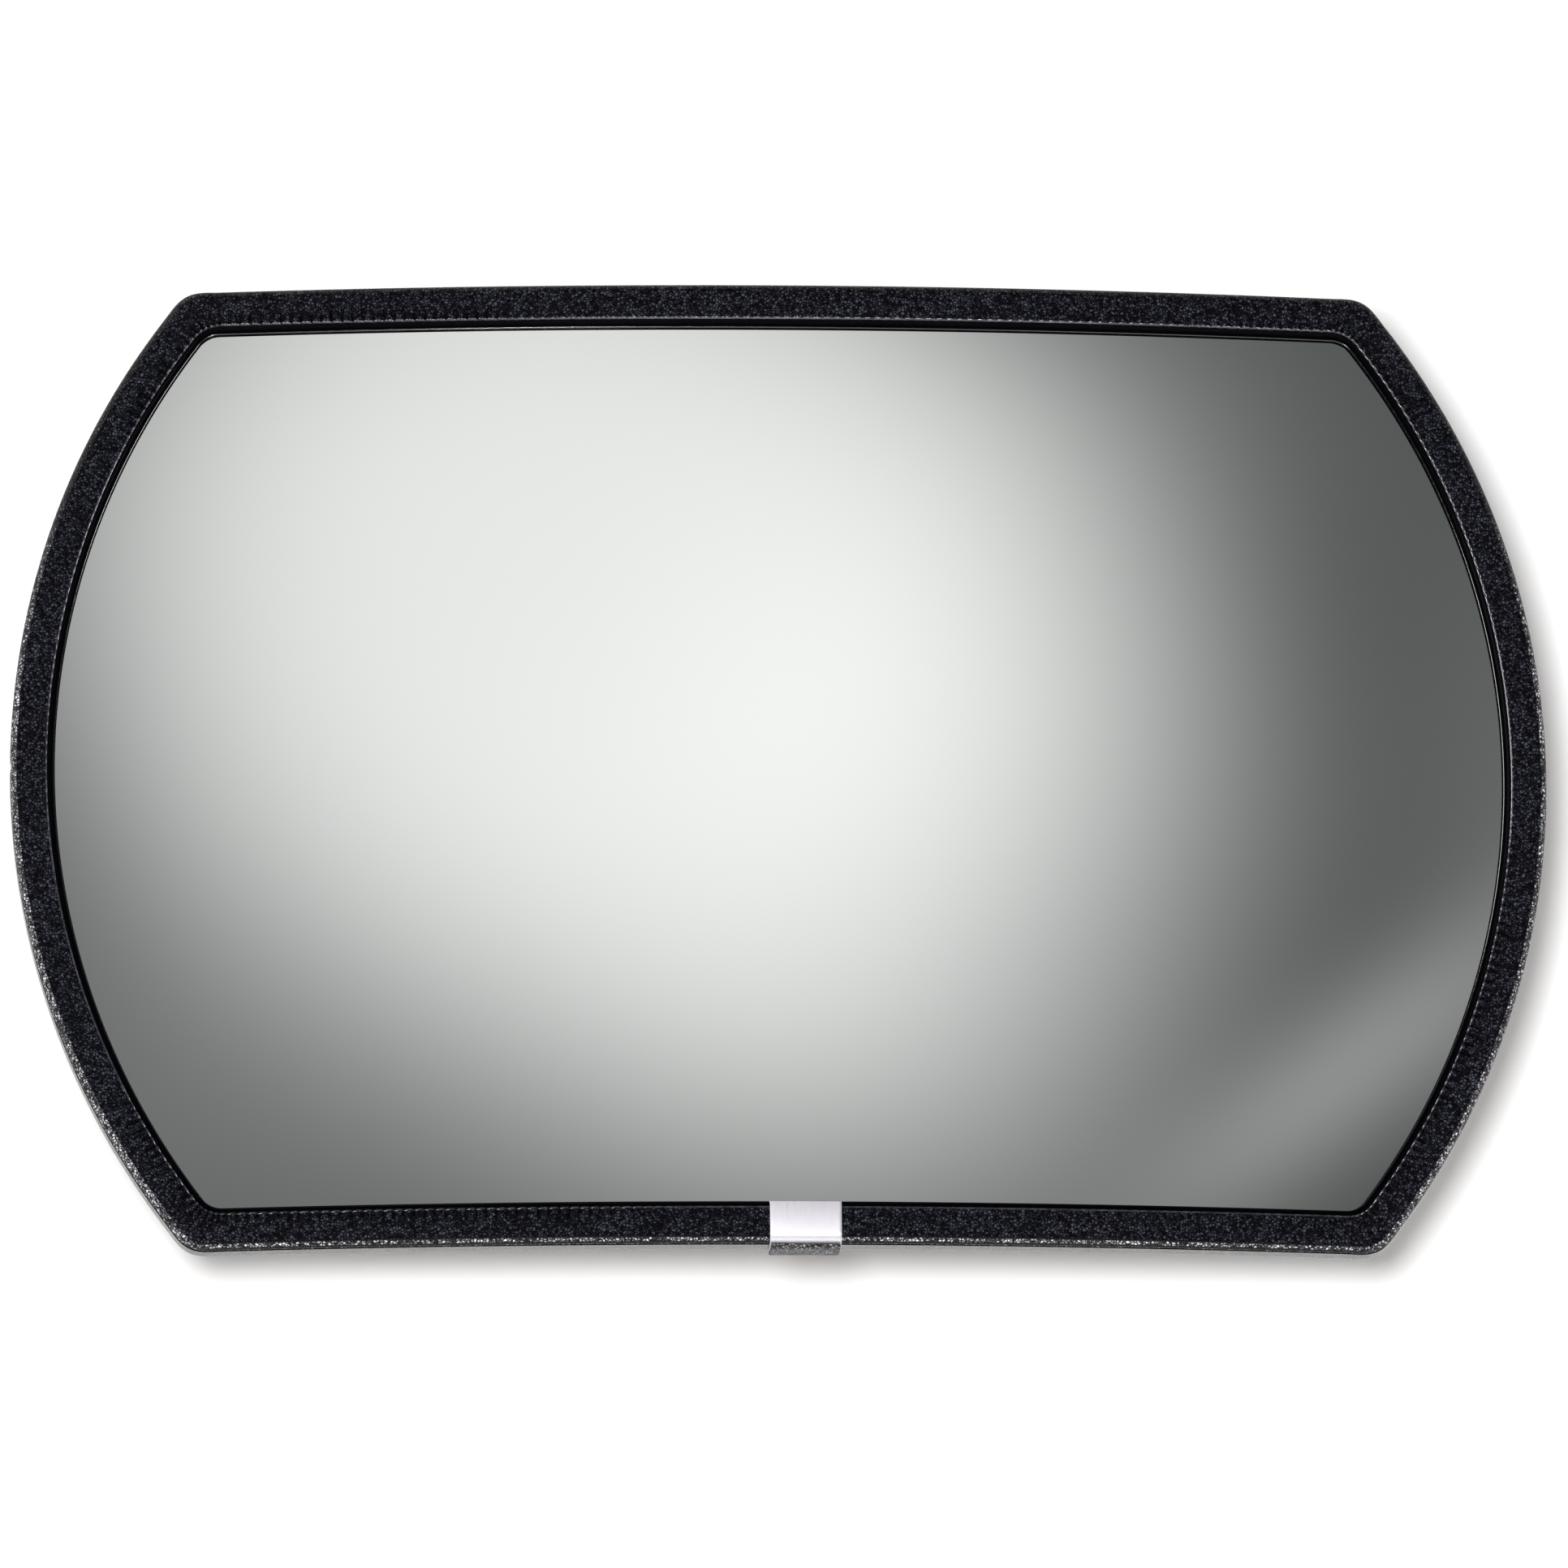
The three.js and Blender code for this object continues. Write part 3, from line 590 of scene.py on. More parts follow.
@material_maker
def brushed_aluminium(tree, where):
    """The clip's satin sheet, brushed across the trim."""
    lines = noise(tree, millimetres(tree, (6.0, 0.25, 0.12)), 1.0, 4.0, 0.7)
    blush = noise(tree, where, 0.09, 2.0)
    smears = noise(tree, millimetres(tree, (1.0, 0.3, 0.15)), 0.9)
    colour = mix_colour(tree, blush, (0.42, 0.395, 0.435), (0.47, 0.46, 0.485))
    colour = mix_colour(tree, remap(tree, smears, 0.55, 0.8, 0.0, 0.35), colour, (0.35, 0.33, 0.37))
    return dict(
        Base_Color=colour,
        Metallic=0.8,
        Roughness=remap(tree, lines, 0.3, 0.7, 0.38, 0.5),
        Normal=bump(tree, lines, 0.05, 0.35),
    )


@material_maker
def zinc_sheet(tree, where):
    """Plated pressed steel, with faint crystals and handling scratches."""
    crystals = add(tree, "TexVoronoi", {"Vector": where, "Scale": 0.16})["Color"]
    shade = add(tree, "SeparateColor", [crystals])[0]
    cloud = noise(tree, where, 0.05, 5.0)
    scratches = noise(tree, millimetres(tree, (0.06, 1.0, 2.4)), 1.2, 5.0, 0.8)
    marks = remap(tree, scratches, 0.66, 0.72, 0.0, 1.0)
    colour = mix_colour(tree, shade, (0.56, 0.57, 0.58), (0.70, 0.71, 0.72))
    colour = mix_colour(tree, remap(tree, cloud, 0.4, 0.7, 0.0, 0.5), colour, (0.50, 0.50, 0.49))
    dull = remap(tree, cloud, 0.3, 0.7, 0.28, 0.42)
    height = math(tree, "SUBTRACT", noise(tree, where, 0.9), times(tree, marks, 0.4))
    return dict(
        Base_Color=colour,
        Metallic=1.0,
        Roughness=math(tree, "ADD", dull, times(tree, marks, 0.12)),
        Normal=bump(tree, height, 0.05, 0.5),
    )


@material_maker
def zinc_fastener(tree, where):
    """Bright plated screws, nuts and washers, with darker, duller patches at random."""
    cloud = noise(tree, where, 0.35, 5.0)
    grime = remap(tree, noise(tree, where, 1.1, 5.0, 0.7), 0.55, 0.8, 0.0, 0.6)
    colour = mix_colour(tree, cloud, (0.66, 0.66, 0.64), (0.78, 0.78, 0.77))
    return dict(
        Base_Color=mix_colour(tree, grime, colour, (0.42, 0.41, 0.38)),
        Metallic=1.0,
        Roughness=remap(tree, cloud, 0.3, 0.7, 0.2, 0.36),
        Normal=bump(tree, noise(tree, where, 3.0, 2.0), 0.03, 0.5),
    )


@material_maker
def polished_steel(tree, where):
    """The ball and its stud, ground smooth with fine turning marks."""
    rings = noise(tree, millimetres(tree, (0.15, 5.0, 0.15)), 1.0, 4.0, 0.7)
    cloud = noise(tree, where, 0.3, 4.0)
    return dict(
        Base_Color=mix_colour(tree, cloud, (0.60, 0.60, 0.61), (0.72, 0.72, 0.73)),
        Metallic=1.0,
        Roughness=remap(tree, rings, 0.3, 0.7, 0.1, 0.24),
        Normal=bump(tree, rings, 0.02, 0.4),
    )


@material_maker
def carrier_steel(tree, where):
    """The bare strip inside the trim, with a cloudy tone and a fine grainy relief."""
    cloud = noise(tree, where, 0.08, 5.0)
    return dict(
        Base_Color=mix_colour(tree, cloud, (0.38, 0.38, 0.38), (0.54, 0.54, 0.53)),
        Metallic=1.0,
        Roughness=remap(tree, cloud, 0.3, 0.7, 0.3, 0.5),
        Normal=bump(tree, noise(tree, where, 2.0), 0.03, 0.5),
    )


@material_maker
def nylon(tree, where):
    """Natural nylon, slightly translucent, with moulding flow marks."""
    flow = noise(tree, where, 0.25, 4.0, 0.5, 0.8)
    return dict(
        Base_Color=mix_colour(tree, flow, (0.70, 0.67, 0.58), (0.80, 0.78, 0.71)),
        Roughness=remap(tree, flow, 0.3, 0.7, 0.36, 0.52),
        Subsurface_Weight=0.15,
        Subsurface_Radius=(0.002, 0.0016, 0.001),
        Normal=bump(tree, flow, 0.05, 0.4),
    )


# ---- The mirror's outline ----


def outline_stations(inset, start_x, spacing):
    """Stations round the outline as rows of x, z and outward normal, about spacing apart.
    They start and end at start_x on the lower chord and run anticlockwise from the front."""
    a, h, r = LENS_HALF_WIDTH - inset, LENS_HALF_HEIGHT - inset, LENS_CORNER_R - inset
    fillet_x, fillet_z = sqrt((a - r) ** 2 - (h - r) ** 2), h - r
    meet = degrees(atan2(fillet_z, fillet_x))
    rows = [(start_x, -h, 0, -1)]

    def bend(cx, cz, radius, from_deg, to_deg):
        steps = max(2, round(radius * radians(to_deg - from_deg) / spacing))
        for angle in np.radians(np.linspace(from_deg, to_deg, steps + 1))[1:]:
            nx, nz = cos(angle), sin(angle)
            rows.append((cx + radius * nx, cz + radius * nz, nx, nz))

    def chord(from_x, to_x, z, nz):
        steps = max(2, round(abs(to_x - from_x) / spacing))
        rows.extend((x, z, 0, nz) for x in np.linspace(from_x, to_x, steps + 1)[1:])

    chord(start_x, fillet_x, -h, -1)
    bend(fillet_x, -fillet_z, r, -90, -meet)
    bend(0, 0, a, -meet, meet)
    bend(fillet_x, fillet_z, r, meet, 90)
    chord(fillet_x, -fillet_x, h, 1)
    bend(-fillet_x, fillet_z, r, 90, 180 - meet)
    bend(0, 0, a, 180 - meet, 180 + meet)
    bend(-fillet_x, -fillet_z, r, 180 + meet, 270)
    chord(-fillet_x, start_x, -h, -1)
    return np.array(rows)


def lens_y(x, z, radius=SPHERE_R):
    return SPHERE_CENTRE_Y - np.sqrt(radius**2 - x**2 - z**2)


def swept(stations, u, v):
    """Points of a (u, v) section at every station; u and v may differ from station to station."""
    x, z, nx, nz = (stations[:, i : i + 1] for i in range(4))
    slope = (x * nx + z * nz) / np.sqrt(SPHERE_R**2 - x**2 - z**2)
    follows = (v > LENS_FOLLOWING_FROM_V) & (v < 0)
    y = lens_y(x, z) + v + np.where(follows, slope * u, 0)
    return np.stack([x + u * nx, y, z + u * nz], -1)


def swept_object(name, stations, u, v, slots=None, folds_and_shade=None):
    """A closed section swept along the stations, with both ends capped."""
    rows, columns = u.shape
    faces = grid_faces(rows, columns, wrap_columns=True)
    last = (rows - 1) * columns
    faces += [list(range(columns)), list(range(last, last + columns))]
    marks = None if slots is None else list(np.tile(slots, rows - 1)) + [0, 0]
    return mesh_object(name, swept(stations, u, v).reshape(-1, 3), faces, slots=marks, folds_and_shade=folds_and_shade)


# ---- Mirror panel ----

LENS_RINGS = 64
LENS_SPACING = 4.5
BOARD_RINGS = 60
BOARD_SPACING = 5


def layered_plate(name, stations, rings, front_y, back_y):
    """A plate over an outline, in rings about its centre, with its faces at front_y and back_y.
    The front takes the first material and the back the second."""
    share = np.linspace(0, 1, rings + 1)[:, None]
    x, z = share * stations[:, 0], share * stations[:, 1]
    front = np.stack([x, front_y(x, z), z], -1)
    back = np.stack([x, back_y(x, z), z], -1)[::-1]
    grid = np.concatenate([front, back])
    rows, columns = grid.shape[:2]
    slots = np.repeat(np.where(np.arange(rows - 1) < rings, 0, 1), columns)
    faces = grid_faces(rows, columns, wrap_columns=True)
    return mesh_object(name, grid.reshape(-1, 3), faces, slots=slots.tolist())


def lens_piece():
    def back_y(x, z):
        return lens_y(x, z, SPHERE_R - LENS_THICKNESS)

    stations = outline_stations(LENS_INSET, 0, LENS_SPACING)[:-1]
    lens = layered_plate("lens_sheet", stations, LENS_RINGS, lens_y, back_y)
    settle(lens, "mirror_lens", "mirror", mirror_face("mirror_face"), mirror_back("mirror_back"))


def board_front_y(x, z):
    """The board's front face: bowed with the long edges, then bent flat towards the sides."""
    away = np.abs(x)
    bow = np.sqrt(SPHERE_R**2 - LENS_HALF_HEIGHT**2 - away**2) - EDGE_DEPTH
    left = np.maximum(0, CHORD_END_X + BOARD_BEND_HALF_LENGTH - away)
    easing = CHORD_END_X / EDGE_DEPTH * left**2 / (4 * BOARD_BEND_HALF_LENGTH)
    bow = np.where(away < CHORD_END_X - BOARD_BEND_HALF_LENGTH, bow, easing)
    return LENS_EDGE_Y + BOARD_BEHIND_LENS_EDGE - bow + 0 * z


def screw_places():
    return [(x, z) for z in (-SCREW_Z, SCREW_Z) for x in (-SCREW_X, SCREW_X)]


def board_piece():
    def back_y(x, z):
        return board_front_y(x, z) + BOARD_THICKNESS

    stations = outline_stations(BOARD_INSET, 0, BOARD_SPACING)[:-1]
    board = layered_plate("board_sheet", stations, BOARD_RINGS, board_front_y, back_y)
    low, high = BOARD_FRONT_Y - 5, BOARD_BACK_Y + 5
    drill_holes(board, SCREW_R + FIT_GAP, screw_places(), low, high)
    for polygon in board.data.polygons:
        polygon.material_index = 0
    settle(board, "backing_board", "hardboard", hardboard("hardboard_fibre"))


# ---- Edge trim, clip and splice ----

TRIM_SPACING = 0.72
FACE_CROWN = 0.22
RIB_PITCH = 4.1
RIB_REACH = 8.0
RIB_DEPTH = 1.2
RIB_SHARPNESS = 2.0
LEAST_RIB = 0.25
NICK_Z = 2
NICK_HALF_LENGTH = 3.2
NICK_DEPTH = 0.6
NICK_REACH = 1.2
CREASE_DEPTH = 0.5
# How far behind the front shoulder's end the crease runs, and where the wall takes over.
CREASE_FROM_TO = (0.2, 0.9)
WALL_FROM = 1.2
# The web from bead to face: how far past the face's inner edge, and how far behind the face.
WEB_FOOT = (0.7, 2.7)
WEB_KNEE = (0.2, 1.8)
# Where round the shoulder the painted highlight starts, is full, fades and ends, in degrees from
# the face.
HIGHLIGHT_LINE_DEG = (31, 37, 50, 57)
HIGHLIGHT_SIDE_DEG = (18, 32)
# The painted highlight's strength low on the sides, and the faint least of it elsewhere.
SIDE_HIGHLIGHT = 0.75
LEAST_HIGHLIGHT = 0.06
GRAINED, SHOULDER_HIGHLIGHT, STRETCHED, SMOOTH, POLISHED, CREST = range(6)
CORNER_FULLNESS = 1.6
FULLNESS_FROM = 4


def trim_section():
    """The trim's section points, and which finish each of its faces has."""
    front_v, wall_u, wall_v = TRIM_FRONT_V, TRIM_OUTER_U, TRIM_FRONT_V + FRONT_SHOULDER_R
    inner_front_v, inner_rear_v = front_v + TRIM_SKIN, TRIM_REAR_V - TRIM_SKIN
    inner_wall_u, shoulder_u = wall_u - TRIM_SKIN, wall_u - FRONT_SHOULDER_R
    corner, rear, nose = INNER_CORNER_R, REAR_SHOULDER_R, REAR_NOSE_R
    face_u = TRIM_FACE_INNER_U + corner
    turn_u, turn_v = wall_u - rear, TRIM_REAR_V - rear
    shoulder = arc(shoulder_u, wall_v, FRONT_SHOULDER_R, -90, -8, 14)
    crease = [(wall_u - CREASE_DEPTH, wall_v + by) for by in CREASE_FROM_TO]
    inside = arc(REAR_NOSE_U, TRIM_REAR_V - nose, nose, 90, 270, 8)
    inside += [(CHANNEL_REAR_U, TRIM_REAR_V - 2 * nose), (CHANNEL_REAR_U, inner_rear_v)]
    inside += [(inner_wall_u, inner_rear_v), (inner_wall_u, inner_front_v + CHANNEL_CHAMFER)]
    inside += [(inner_wall_u - CHANNEL_CHAMFER, inner_front_v), (CHANNEL_FRONT_U, inner_front_v)]
    inside += [(CHANNEL_FRONT_U, BEAD_V + BEAD_R)]
    bead = arc(BEAD_U, BEAD_V, BEAD_R, 90, 340, 14)
    web = [(TRIM_FACE_INNER_U - by, front_v + below) for by, below in (WEB_FOOT, WEB_KNEE)]
    stretches = [
        (arc(face_u, front_v + corner, corner, 180, 270, 6)[:-1], POLISHED),
        (line((face_u, front_v), (shoulder_u, front_v), 12) + shoulder[:4], GRAINED),
        # The middle of the front shoulder carries the painted highlight.
        (shoulder[4:-1], SHOULDER_HIGHLIGHT),
        (shoulder[-1:] + crease, SMOOTH),
        (line((wall_u, wall_v + WALL_FROM), (wall_u, turn_v), 5), STRETCHED),
        (arc(turn_u, turn_v, rear, 0, 90, 7)[:-1], STRETCHED),
        (line((turn_u, TRIM_REAR_V), (REAR_NOSE_U, TRIM_REAR_V), 5), STRETCHED),
        (inside, SMOOTH),
        (bead[:6], SMOOTH),
        (bead[6:9], CREST),
        (bead[9:], SMOOTH),
        (web, SMOOTH),
    ]
    points = [point for stretch, _ in stretches for point in stretch]
    finish = [kind for stretch, kind in stretches for _ in stretch]
    return np.array(points), np.array(finish)


def ease(value, low, high):
    t = np.clip((value - low) / (high - low), 0, 1)
    return t * t * (3 - 2 * t)


def rib_strength(x, z):
    """The pinched ribs show best near the corners and fade along the middle of the long edges."""
    upper, lower = ease(z, 120, 150), ease(-z, 120, 150)
    top_left = upper * ease(-x, 60, 130)
    top_right = upper * ease(x, 120, 200) * 0.8
    bottom = lower * (0.35 + 0.65 * ease(-x, 20, 90))
    right_side = ease(x, 200, 260) * ease(-z, -10, 60)
    return np.maximum.reduce([top_left, top_right, bottom, right_side, LEAST_RIB + 0 * x])


def at_corner(stations):
    """1 at the middle of each rounded corner, where the gathered vinyl stands fuller, else 0."""
    facing = np.degrees(np.arctan2(np.abs(stations[:, 3:4]), np.abs(stations[:, 2:3])))
    corner_z, reach = LENS_HALF_HEIGHT - LENS_CORNER_R, LENS_HALF_WIDTH - LENS_CORNER_R
    meet = degrees(asin(corner_z / reach))
    return np.sin(pi * np.clip((90 - facing) / (90 - meet), 0, 1)) ** 2


def painted_highlight_share(stations, u, v):
    """How strong the painted highlight on the outer shoulder is, by which way it faces: a line
    along the bottom, and all of it low on the sides.
    """
    side, down = np.abs(stations[:, 2:3]), -stations[:, 3:4]
    centre_u, centre_v = TRIM_OUTER_U - FRONT_SHOULDER_R, TRIM_FRONT_V + FRONT_SHOULDER_R
    turn = np.degrees(np.arctan2(u - centre_u, centre_v - v))
    low = ease(down, 0.1, 0.5)
    start, full, fade, end = HIGHLIGHT_LINE_DEG
    line_along = low * ease(turn, start, full) * (1 - ease(turn, fade, end))
    broad = ease(down, -0.45, -0.05) * ease(side, 0.25, 0.5) * ease(turn, *HIGHLIGHT_SIDE_DEG)
    return np.maximum.reduce([line_along, SIDE_HIGHLIGHT * broad, LEAST_HIGHLIGHT * (1 - low) + 0 * u])


def trim_piece():
    stations = outline_stations(0, JOINT_X, TRIM_SPACING)
    stations[0, 0] += JOINT_GAP / 2
    stations[-1, 0] -= JOINT_GAP / 2
    section, finish = trim_section()
    u, v = repeated(section, len(stations))

    steps = np.hypot(*np.diff(stations[:, :2], axis=0).T)
    along = np.concatenate([[0], np.cumsum(steps)])[:, None]
    face_middle = (TRIM_FACE_INNER_U + TRIM_OUTER_U) / 2
    half_face = (TRIM_OUTER_U - TRIM_FACE_INNER_U) / 2
    on_face = v < TRIM_FRONT_V + INNER_CORNER_R + 0.01
    crown = 1 - ((u - face_middle) / half_face) ** 2

    x, z = stations[:, 0:1], stations[:, 1:2]
    wander = 0.35 * np.sin(along / 17.3) + 0.25 * np.sin(along / 6.1 + 1)
    pulse = 0.5 + 0.5 * np.cos(tau * along / RIB_PITCH + wander)
    reach = RIB_REACH * (1 + 0.2 * np.sin(along / 23))
    near_edge = 1 - ease(u - TRIM_FACE_INNER_U, 0.2 * reach, reach)
    folds_and_shade = rib_strength(x, z) * near_edge * (1 - pulse) ** RIB_SHARPNESS * on_face
    # Painted shade at each point: in the ribs' folds on the face, and on the shoulder wherever its
    # painted highlight is weak.
    shade_per_point = np.where(finish == SHOULDER_HIGHLIGHT, 1 - painted_highlight_share(stations, u, v), folds_and_shade)
    v = v + RIB_DEPTH * folds_and_shade + np.where(on_face, FACE_CROWN * (1 - np.clip(crown, 0, 1)), 0)

    fuller = CORNER_FULLNESS * at_corner(stations)
    u = u + fuller * np.where(u > TRIM_FACE_INNER_U + FULLNESS_FROM, 1, 0)
    at_nick = np.clip(1 - ((z - NICK_Z) / NICK_HALF_LENGTH) ** 2, 0, 1) ** 2 * (x < 0)
    u = u - np.where(u > TRIM_OUTER_U - NICK_REACH, NICK_DEPTH * at_nick, 0)
    trim = swept_object("trim_vinyl", stations, u, v, finish, shade_per_point.ravel())
    finishes = [GRAINED_VINYL, SHOULDER_HIGHLIGHT_VINYL, STRETCHED_VINYL]
    finishes += [smooth_vinyl("vinyl_smooth", *SMOOTH_LOOK), polished_vinyl("vinyl_polished")]
    finishes += [smooth_vinyl("vinyl_crest", *CREST_LOOK)]
    settle(trim, "edge_trim", "vinyl", *finishes)


def joint_stations(length, steps):
    x = np.linspace(JOINT_X - length / 2, JOINT_X + length / 2, steps + 1)
    fixed = np.repeat([[-LENS_HALF_HEIGHT, 0, -1]], steps + 1, 0)
    return np.column_stack([x, fixed])


def band_section(offset, thickness, from_deg, front_end):
    """A band outside the trim: round its front shoulder, along the wall and round the rear."""
    inner = FIT_GAP + offset
    outer = inner + thickness
    front_u, front_v = TRIM_OUTER_U - FRONT_SHOULDER_R, TRIM_FRONT_V + FRONT_SHOULDER_R
    rear_u, rear_v = TRIM_OUTER_U - REAR_SHOULDER_R, TRIM_REAR_V - REAR_SHOULDER_R

    def front_arc(by, from_, to):
        return arc(front_u, front_v, FRONT_SHOULDER_R + by, from_, to, 12)

    def rear_arc(by, from_, to):
        return arc(rear_u, rear_v, REAR_SHOULDER_R + by, from_, to, 12)

    points = front_arc(outer, from_deg, 0) + rear_arc(outer, 0, 90)
    points += [(CLIP_REAR_U, TRIM_REAR_V + outer), (CLIP_REAR_U, TRIM_REAR_V + inner)]
    points += rear_arc(inner, 90, 0) + front_arc(inner, 0, from_deg)
    return np.array(points + front_end(inner, outer))


def band_piece(name, section, stations):
    u, v = repeated(section, len(stations))
    return swept_object(name, stations, u, v)


def clip_piece():
    def hook(inner, outer):
        bend_r = outer - inner
        u, v = CLIP_INNER_U - inner, TRIM_FRONT_V - inner
        foot = [(u, v), (u, CLIP_HOOK_V), (u - bend_r, CLIP_HOOK_V)]
        return foot + arc(u, v, bend_r, 180, 270, 6)

    section = band_section(0, CLIP_THICKNESS, -90, hook)
    clip = band_piece("clip_sheet", section, joint_stations(CLIP_LENGTH, 24))
    round_edges(clip, 0.12, 2)
    settle(clip, "joint_clip", "brushed_aluminium", brushed_aluminium("brushed_aluminium"))


def splice_piece():
    offset = CLIP_THICKNESS + FIT_GAP
    section = band_section(offset, SPLICE_THICKNESS, SPLICE_FROM_DEG, lambda inner, outer: [])
    splice = band_piece("splice_vinyl", section, joint_stations(SPLICE_LENGTH, 24))
    round_edges(splice, 0.3)
    # The splice's grain tops are painted lighter all over, as painted glints.
    settle(splice, "joint_splice", "vinyl", embossed_vinyl("vinyl_mottled", *SPLICE_GLINT_LOOK))


# ---- Bridge bracket and its hardware ----


def filleted(path, radius):
    """A polyline with its inner corners rounded."""
    steps = 6
    points = [np.array(path[0], float)]
    for before, corner, after in zip(path, path[1:], path[2:]):
        corner = np.array(corner, float)
        a, b = np.array(before) - corner, np.array(after) - corner
        a, b = a / np.linalg.norm(a), b / np.linalg.norm(b)
        half = 0.5 * np.arccos(np.clip(a @ b, -1, 1))
        reach = radius / tan(half)
        start, end = corner + a * reach, corner + b * reach
        for t in np.linspace(0, 1, steps + 1):
            points.append((1 - t) ** 2 * start + 2 * t * (1 - t) * corner + t * t * end)
    points.append(np.array(path[-1], float))
    return np.array(points)


def strip_of(path, thickness):
    """A closed outline of a bent strip about its centre line."""
    along = np.gradient(path, axis=0)
    along /= np.linalg.norm(along, axis=1)[:, None]
    side = np.column_stack([-along[:, 1], along[:, 0]]) * thickness / 2
    return np.vstack([path + side, (path - side)[::-1]])


def bridge_piece():
    foot_y, top_y = BRIDGE_FOOT_Y + BRIDGE_SHEET / 2, BRIDGE_BACK_Y - BRIDGE_SHEET / 2
    foot_z, top_z = BRIDGE_HALF_FOOT - BRIDGE_SHEET / 2, BRIDGE_HALF_TOP - 0.4
    end = BRIDGE_HALF_HEIGHT
    path = [(-end, foot_y), (-foot_z, foot_y), (-top_z, top_y)]
    path += [(top_z, top_y), (foot_z, foot_y), (end, foot_y)]
    outline = strip_of(filleted(path, BRIDGE_BEND_R), BRIDGE_SHEET)
    half = BRIDGE_HALF_WIDTH
    bridge = prism("bridge_pressing", *([(x, y, z) for z, y in outline] for x in (-half, half)))
    low, high = BRIDGE_FOOT_Y - 20, BRIDGE_BACK_Y + 20
    corners = rounded_rectangle(half + 0.01, BRIDGE_HALF_HEIGHT, PLATE_CORNER_R)
    combine(bridge, "INTERSECT", extruded("blank", corners, low, high))
    holes = [drill(SCREW_R + FIT_GAP, x, z, low, high) for x, z in screw_places()]
    combine(bridge, "DIFFERENCE", drill(STUD_R + FIT_GAP, 0, 0, low, high), *holes)
    round_edges(bridge, 0.35, 2)
    settle_sheet(bridge, "bridge_bracket")


def board_screw(index, x, z):
    head = BRIDGE_FOOT_Y + BRIDGE_SHEET + FIT_GAP
    tip = BOARD_FRONT_Y - FIT_GAP - SCREW_NUT_HEIGHT - 1
    height, radius = SCREW_HEAD_HEIGHT, SCREW_HEAD_R
    profile = [(0, tip), (SCREW_R - 0.5, tip)]
    profile += line((SCREW_R, tip + 0.6), (SCREW_R, head), 60)
    profile += [(SCREW_R, head), (radius - 0.2, head), (radius, head + 0.2)]
    angles, rim = np.linspace(0, pi / 2, 12)[:-1], 0.9
    profile += [(radius * cos(a), head + rim + (height - rim) * sin(a)) for a in angles]
    profile += [(0, head + height)]
    thread = (tip + 0.4, head - 1, SCREW_PITCH, 0.35)
    screw = turned(f"board_screw_{index}_turned", profile, 64, thread=thread)
    top, bottom = head + height + 1, head + height - 1.5
    slots = [
        extruded("slot", [(a * half_x, b * half_z) for a, b in SQUARE], bottom, top)
        for half_x, half_z in ((2.2, 0.45), (0.45, 2.2))
    ]
    combine(screw, "DIFFERENCE", *slots)
    move(screw, x=x, z=z)
    settle_fastener(screw, f"board_screw_{index}")


def hex_nut(name, low, height, corner_r, bore_r, pitch, x=0, z=0):
    """A chamfered hexagon nut on the Y axis with a threaded bore."""
    steps, chamfer, lead_deg = 96, 0.5, 62
    theta = whole_turn(steps)
    hexagon = corner_r * cos(pi / 6) / np.cos(theta % (pi / 3) - pi / 6)
    flat = corner_r * cos(pi / 6)
    start, high = flat * 0.94, low + height
    levels = [0, 0.12, 0.25, 0.4, 0.6, 0.9]
    outer = [(start + d * tan(radians(lead_deg)), low + d) for d in levels]
    outer += [(2 * corner_r, low + height / 2)]
    outer += [(start + d * tan(radians(lead_deg)), high - d) for d in levels[::-1]]
    bore = [(bore_r + chamfer, high)]
    bore += line((bore_r, high - chamfer), (bore_r, low + chamfer), 36)
    bore += [(bore_r + chamfer, low)]
    is_outer = np.arange(len(outer + bore)) < len(outer)
    radius, tall = repeated(outer + bore, steps)
    groove = thread_depth(theta, tall, low + chamfer, high - chamfer, pitch, 0.28)
    radius = np.where(is_outer, np.minimum(radius, hexagon), radius + groove)
    return move(ringed(name, theta, radius, tall, sharp_deg=28), x=x, z=z)


def board_nut(index, x, z):
    low = BOARD_FRONT_Y - FIT_GAP - SCREW_NUT_HEIGHT
    bore = SCREW_R + FIT_GAP
    size = (SCREW_NUT_HEIGHT, SCREW_NUT_R, bore, SCREW_PITCH)
    nut = hex_nut(f"board_nut_{index}_hex", low, *size, x=x, z=z)
    settle_fastener(nut, f"board_nut_{index}")


# ---- Ball joint. Drawn with the ball's centre at the origin and the stud along -Y ----


def at_ball(piece, x=0):
    return move(piece, x + BALL.x, BALL.y, BALL.z)


def stud_piece():
    neck_deg = degrees(asin(NECK_R / BALL_R))
    thread_end = -NECK_END - 1
    profile = [(0, -STUD_LENGTH), (STUD_R - 0.8, -STUD_LENGTH)]
    profile += line((STUD_R, -STUD_LENGTH + 0.8), (STUD_R, thread_end), 170)
    profile += [(STUD_R, thread_end)]
    profile += arc(NECK_R + 0.8, -NECK_END + 0.2, 0.8, 235, 180, 5)
    profile += arc(0, 0, BALL_R, -90 + neck_deg, 90, 60)[:-1] + [(0, BALL_R)]
    thread = (-STUD_LENGTH + 0.3, thread_end - 1.5, STUD_PITCH, 0.62)
    stud = at_ball(turned("stud_and_ball", profile, thread=thread))
    settle(stud, "ball_stud", "polished_steel", polished_steel("polished_steel"))


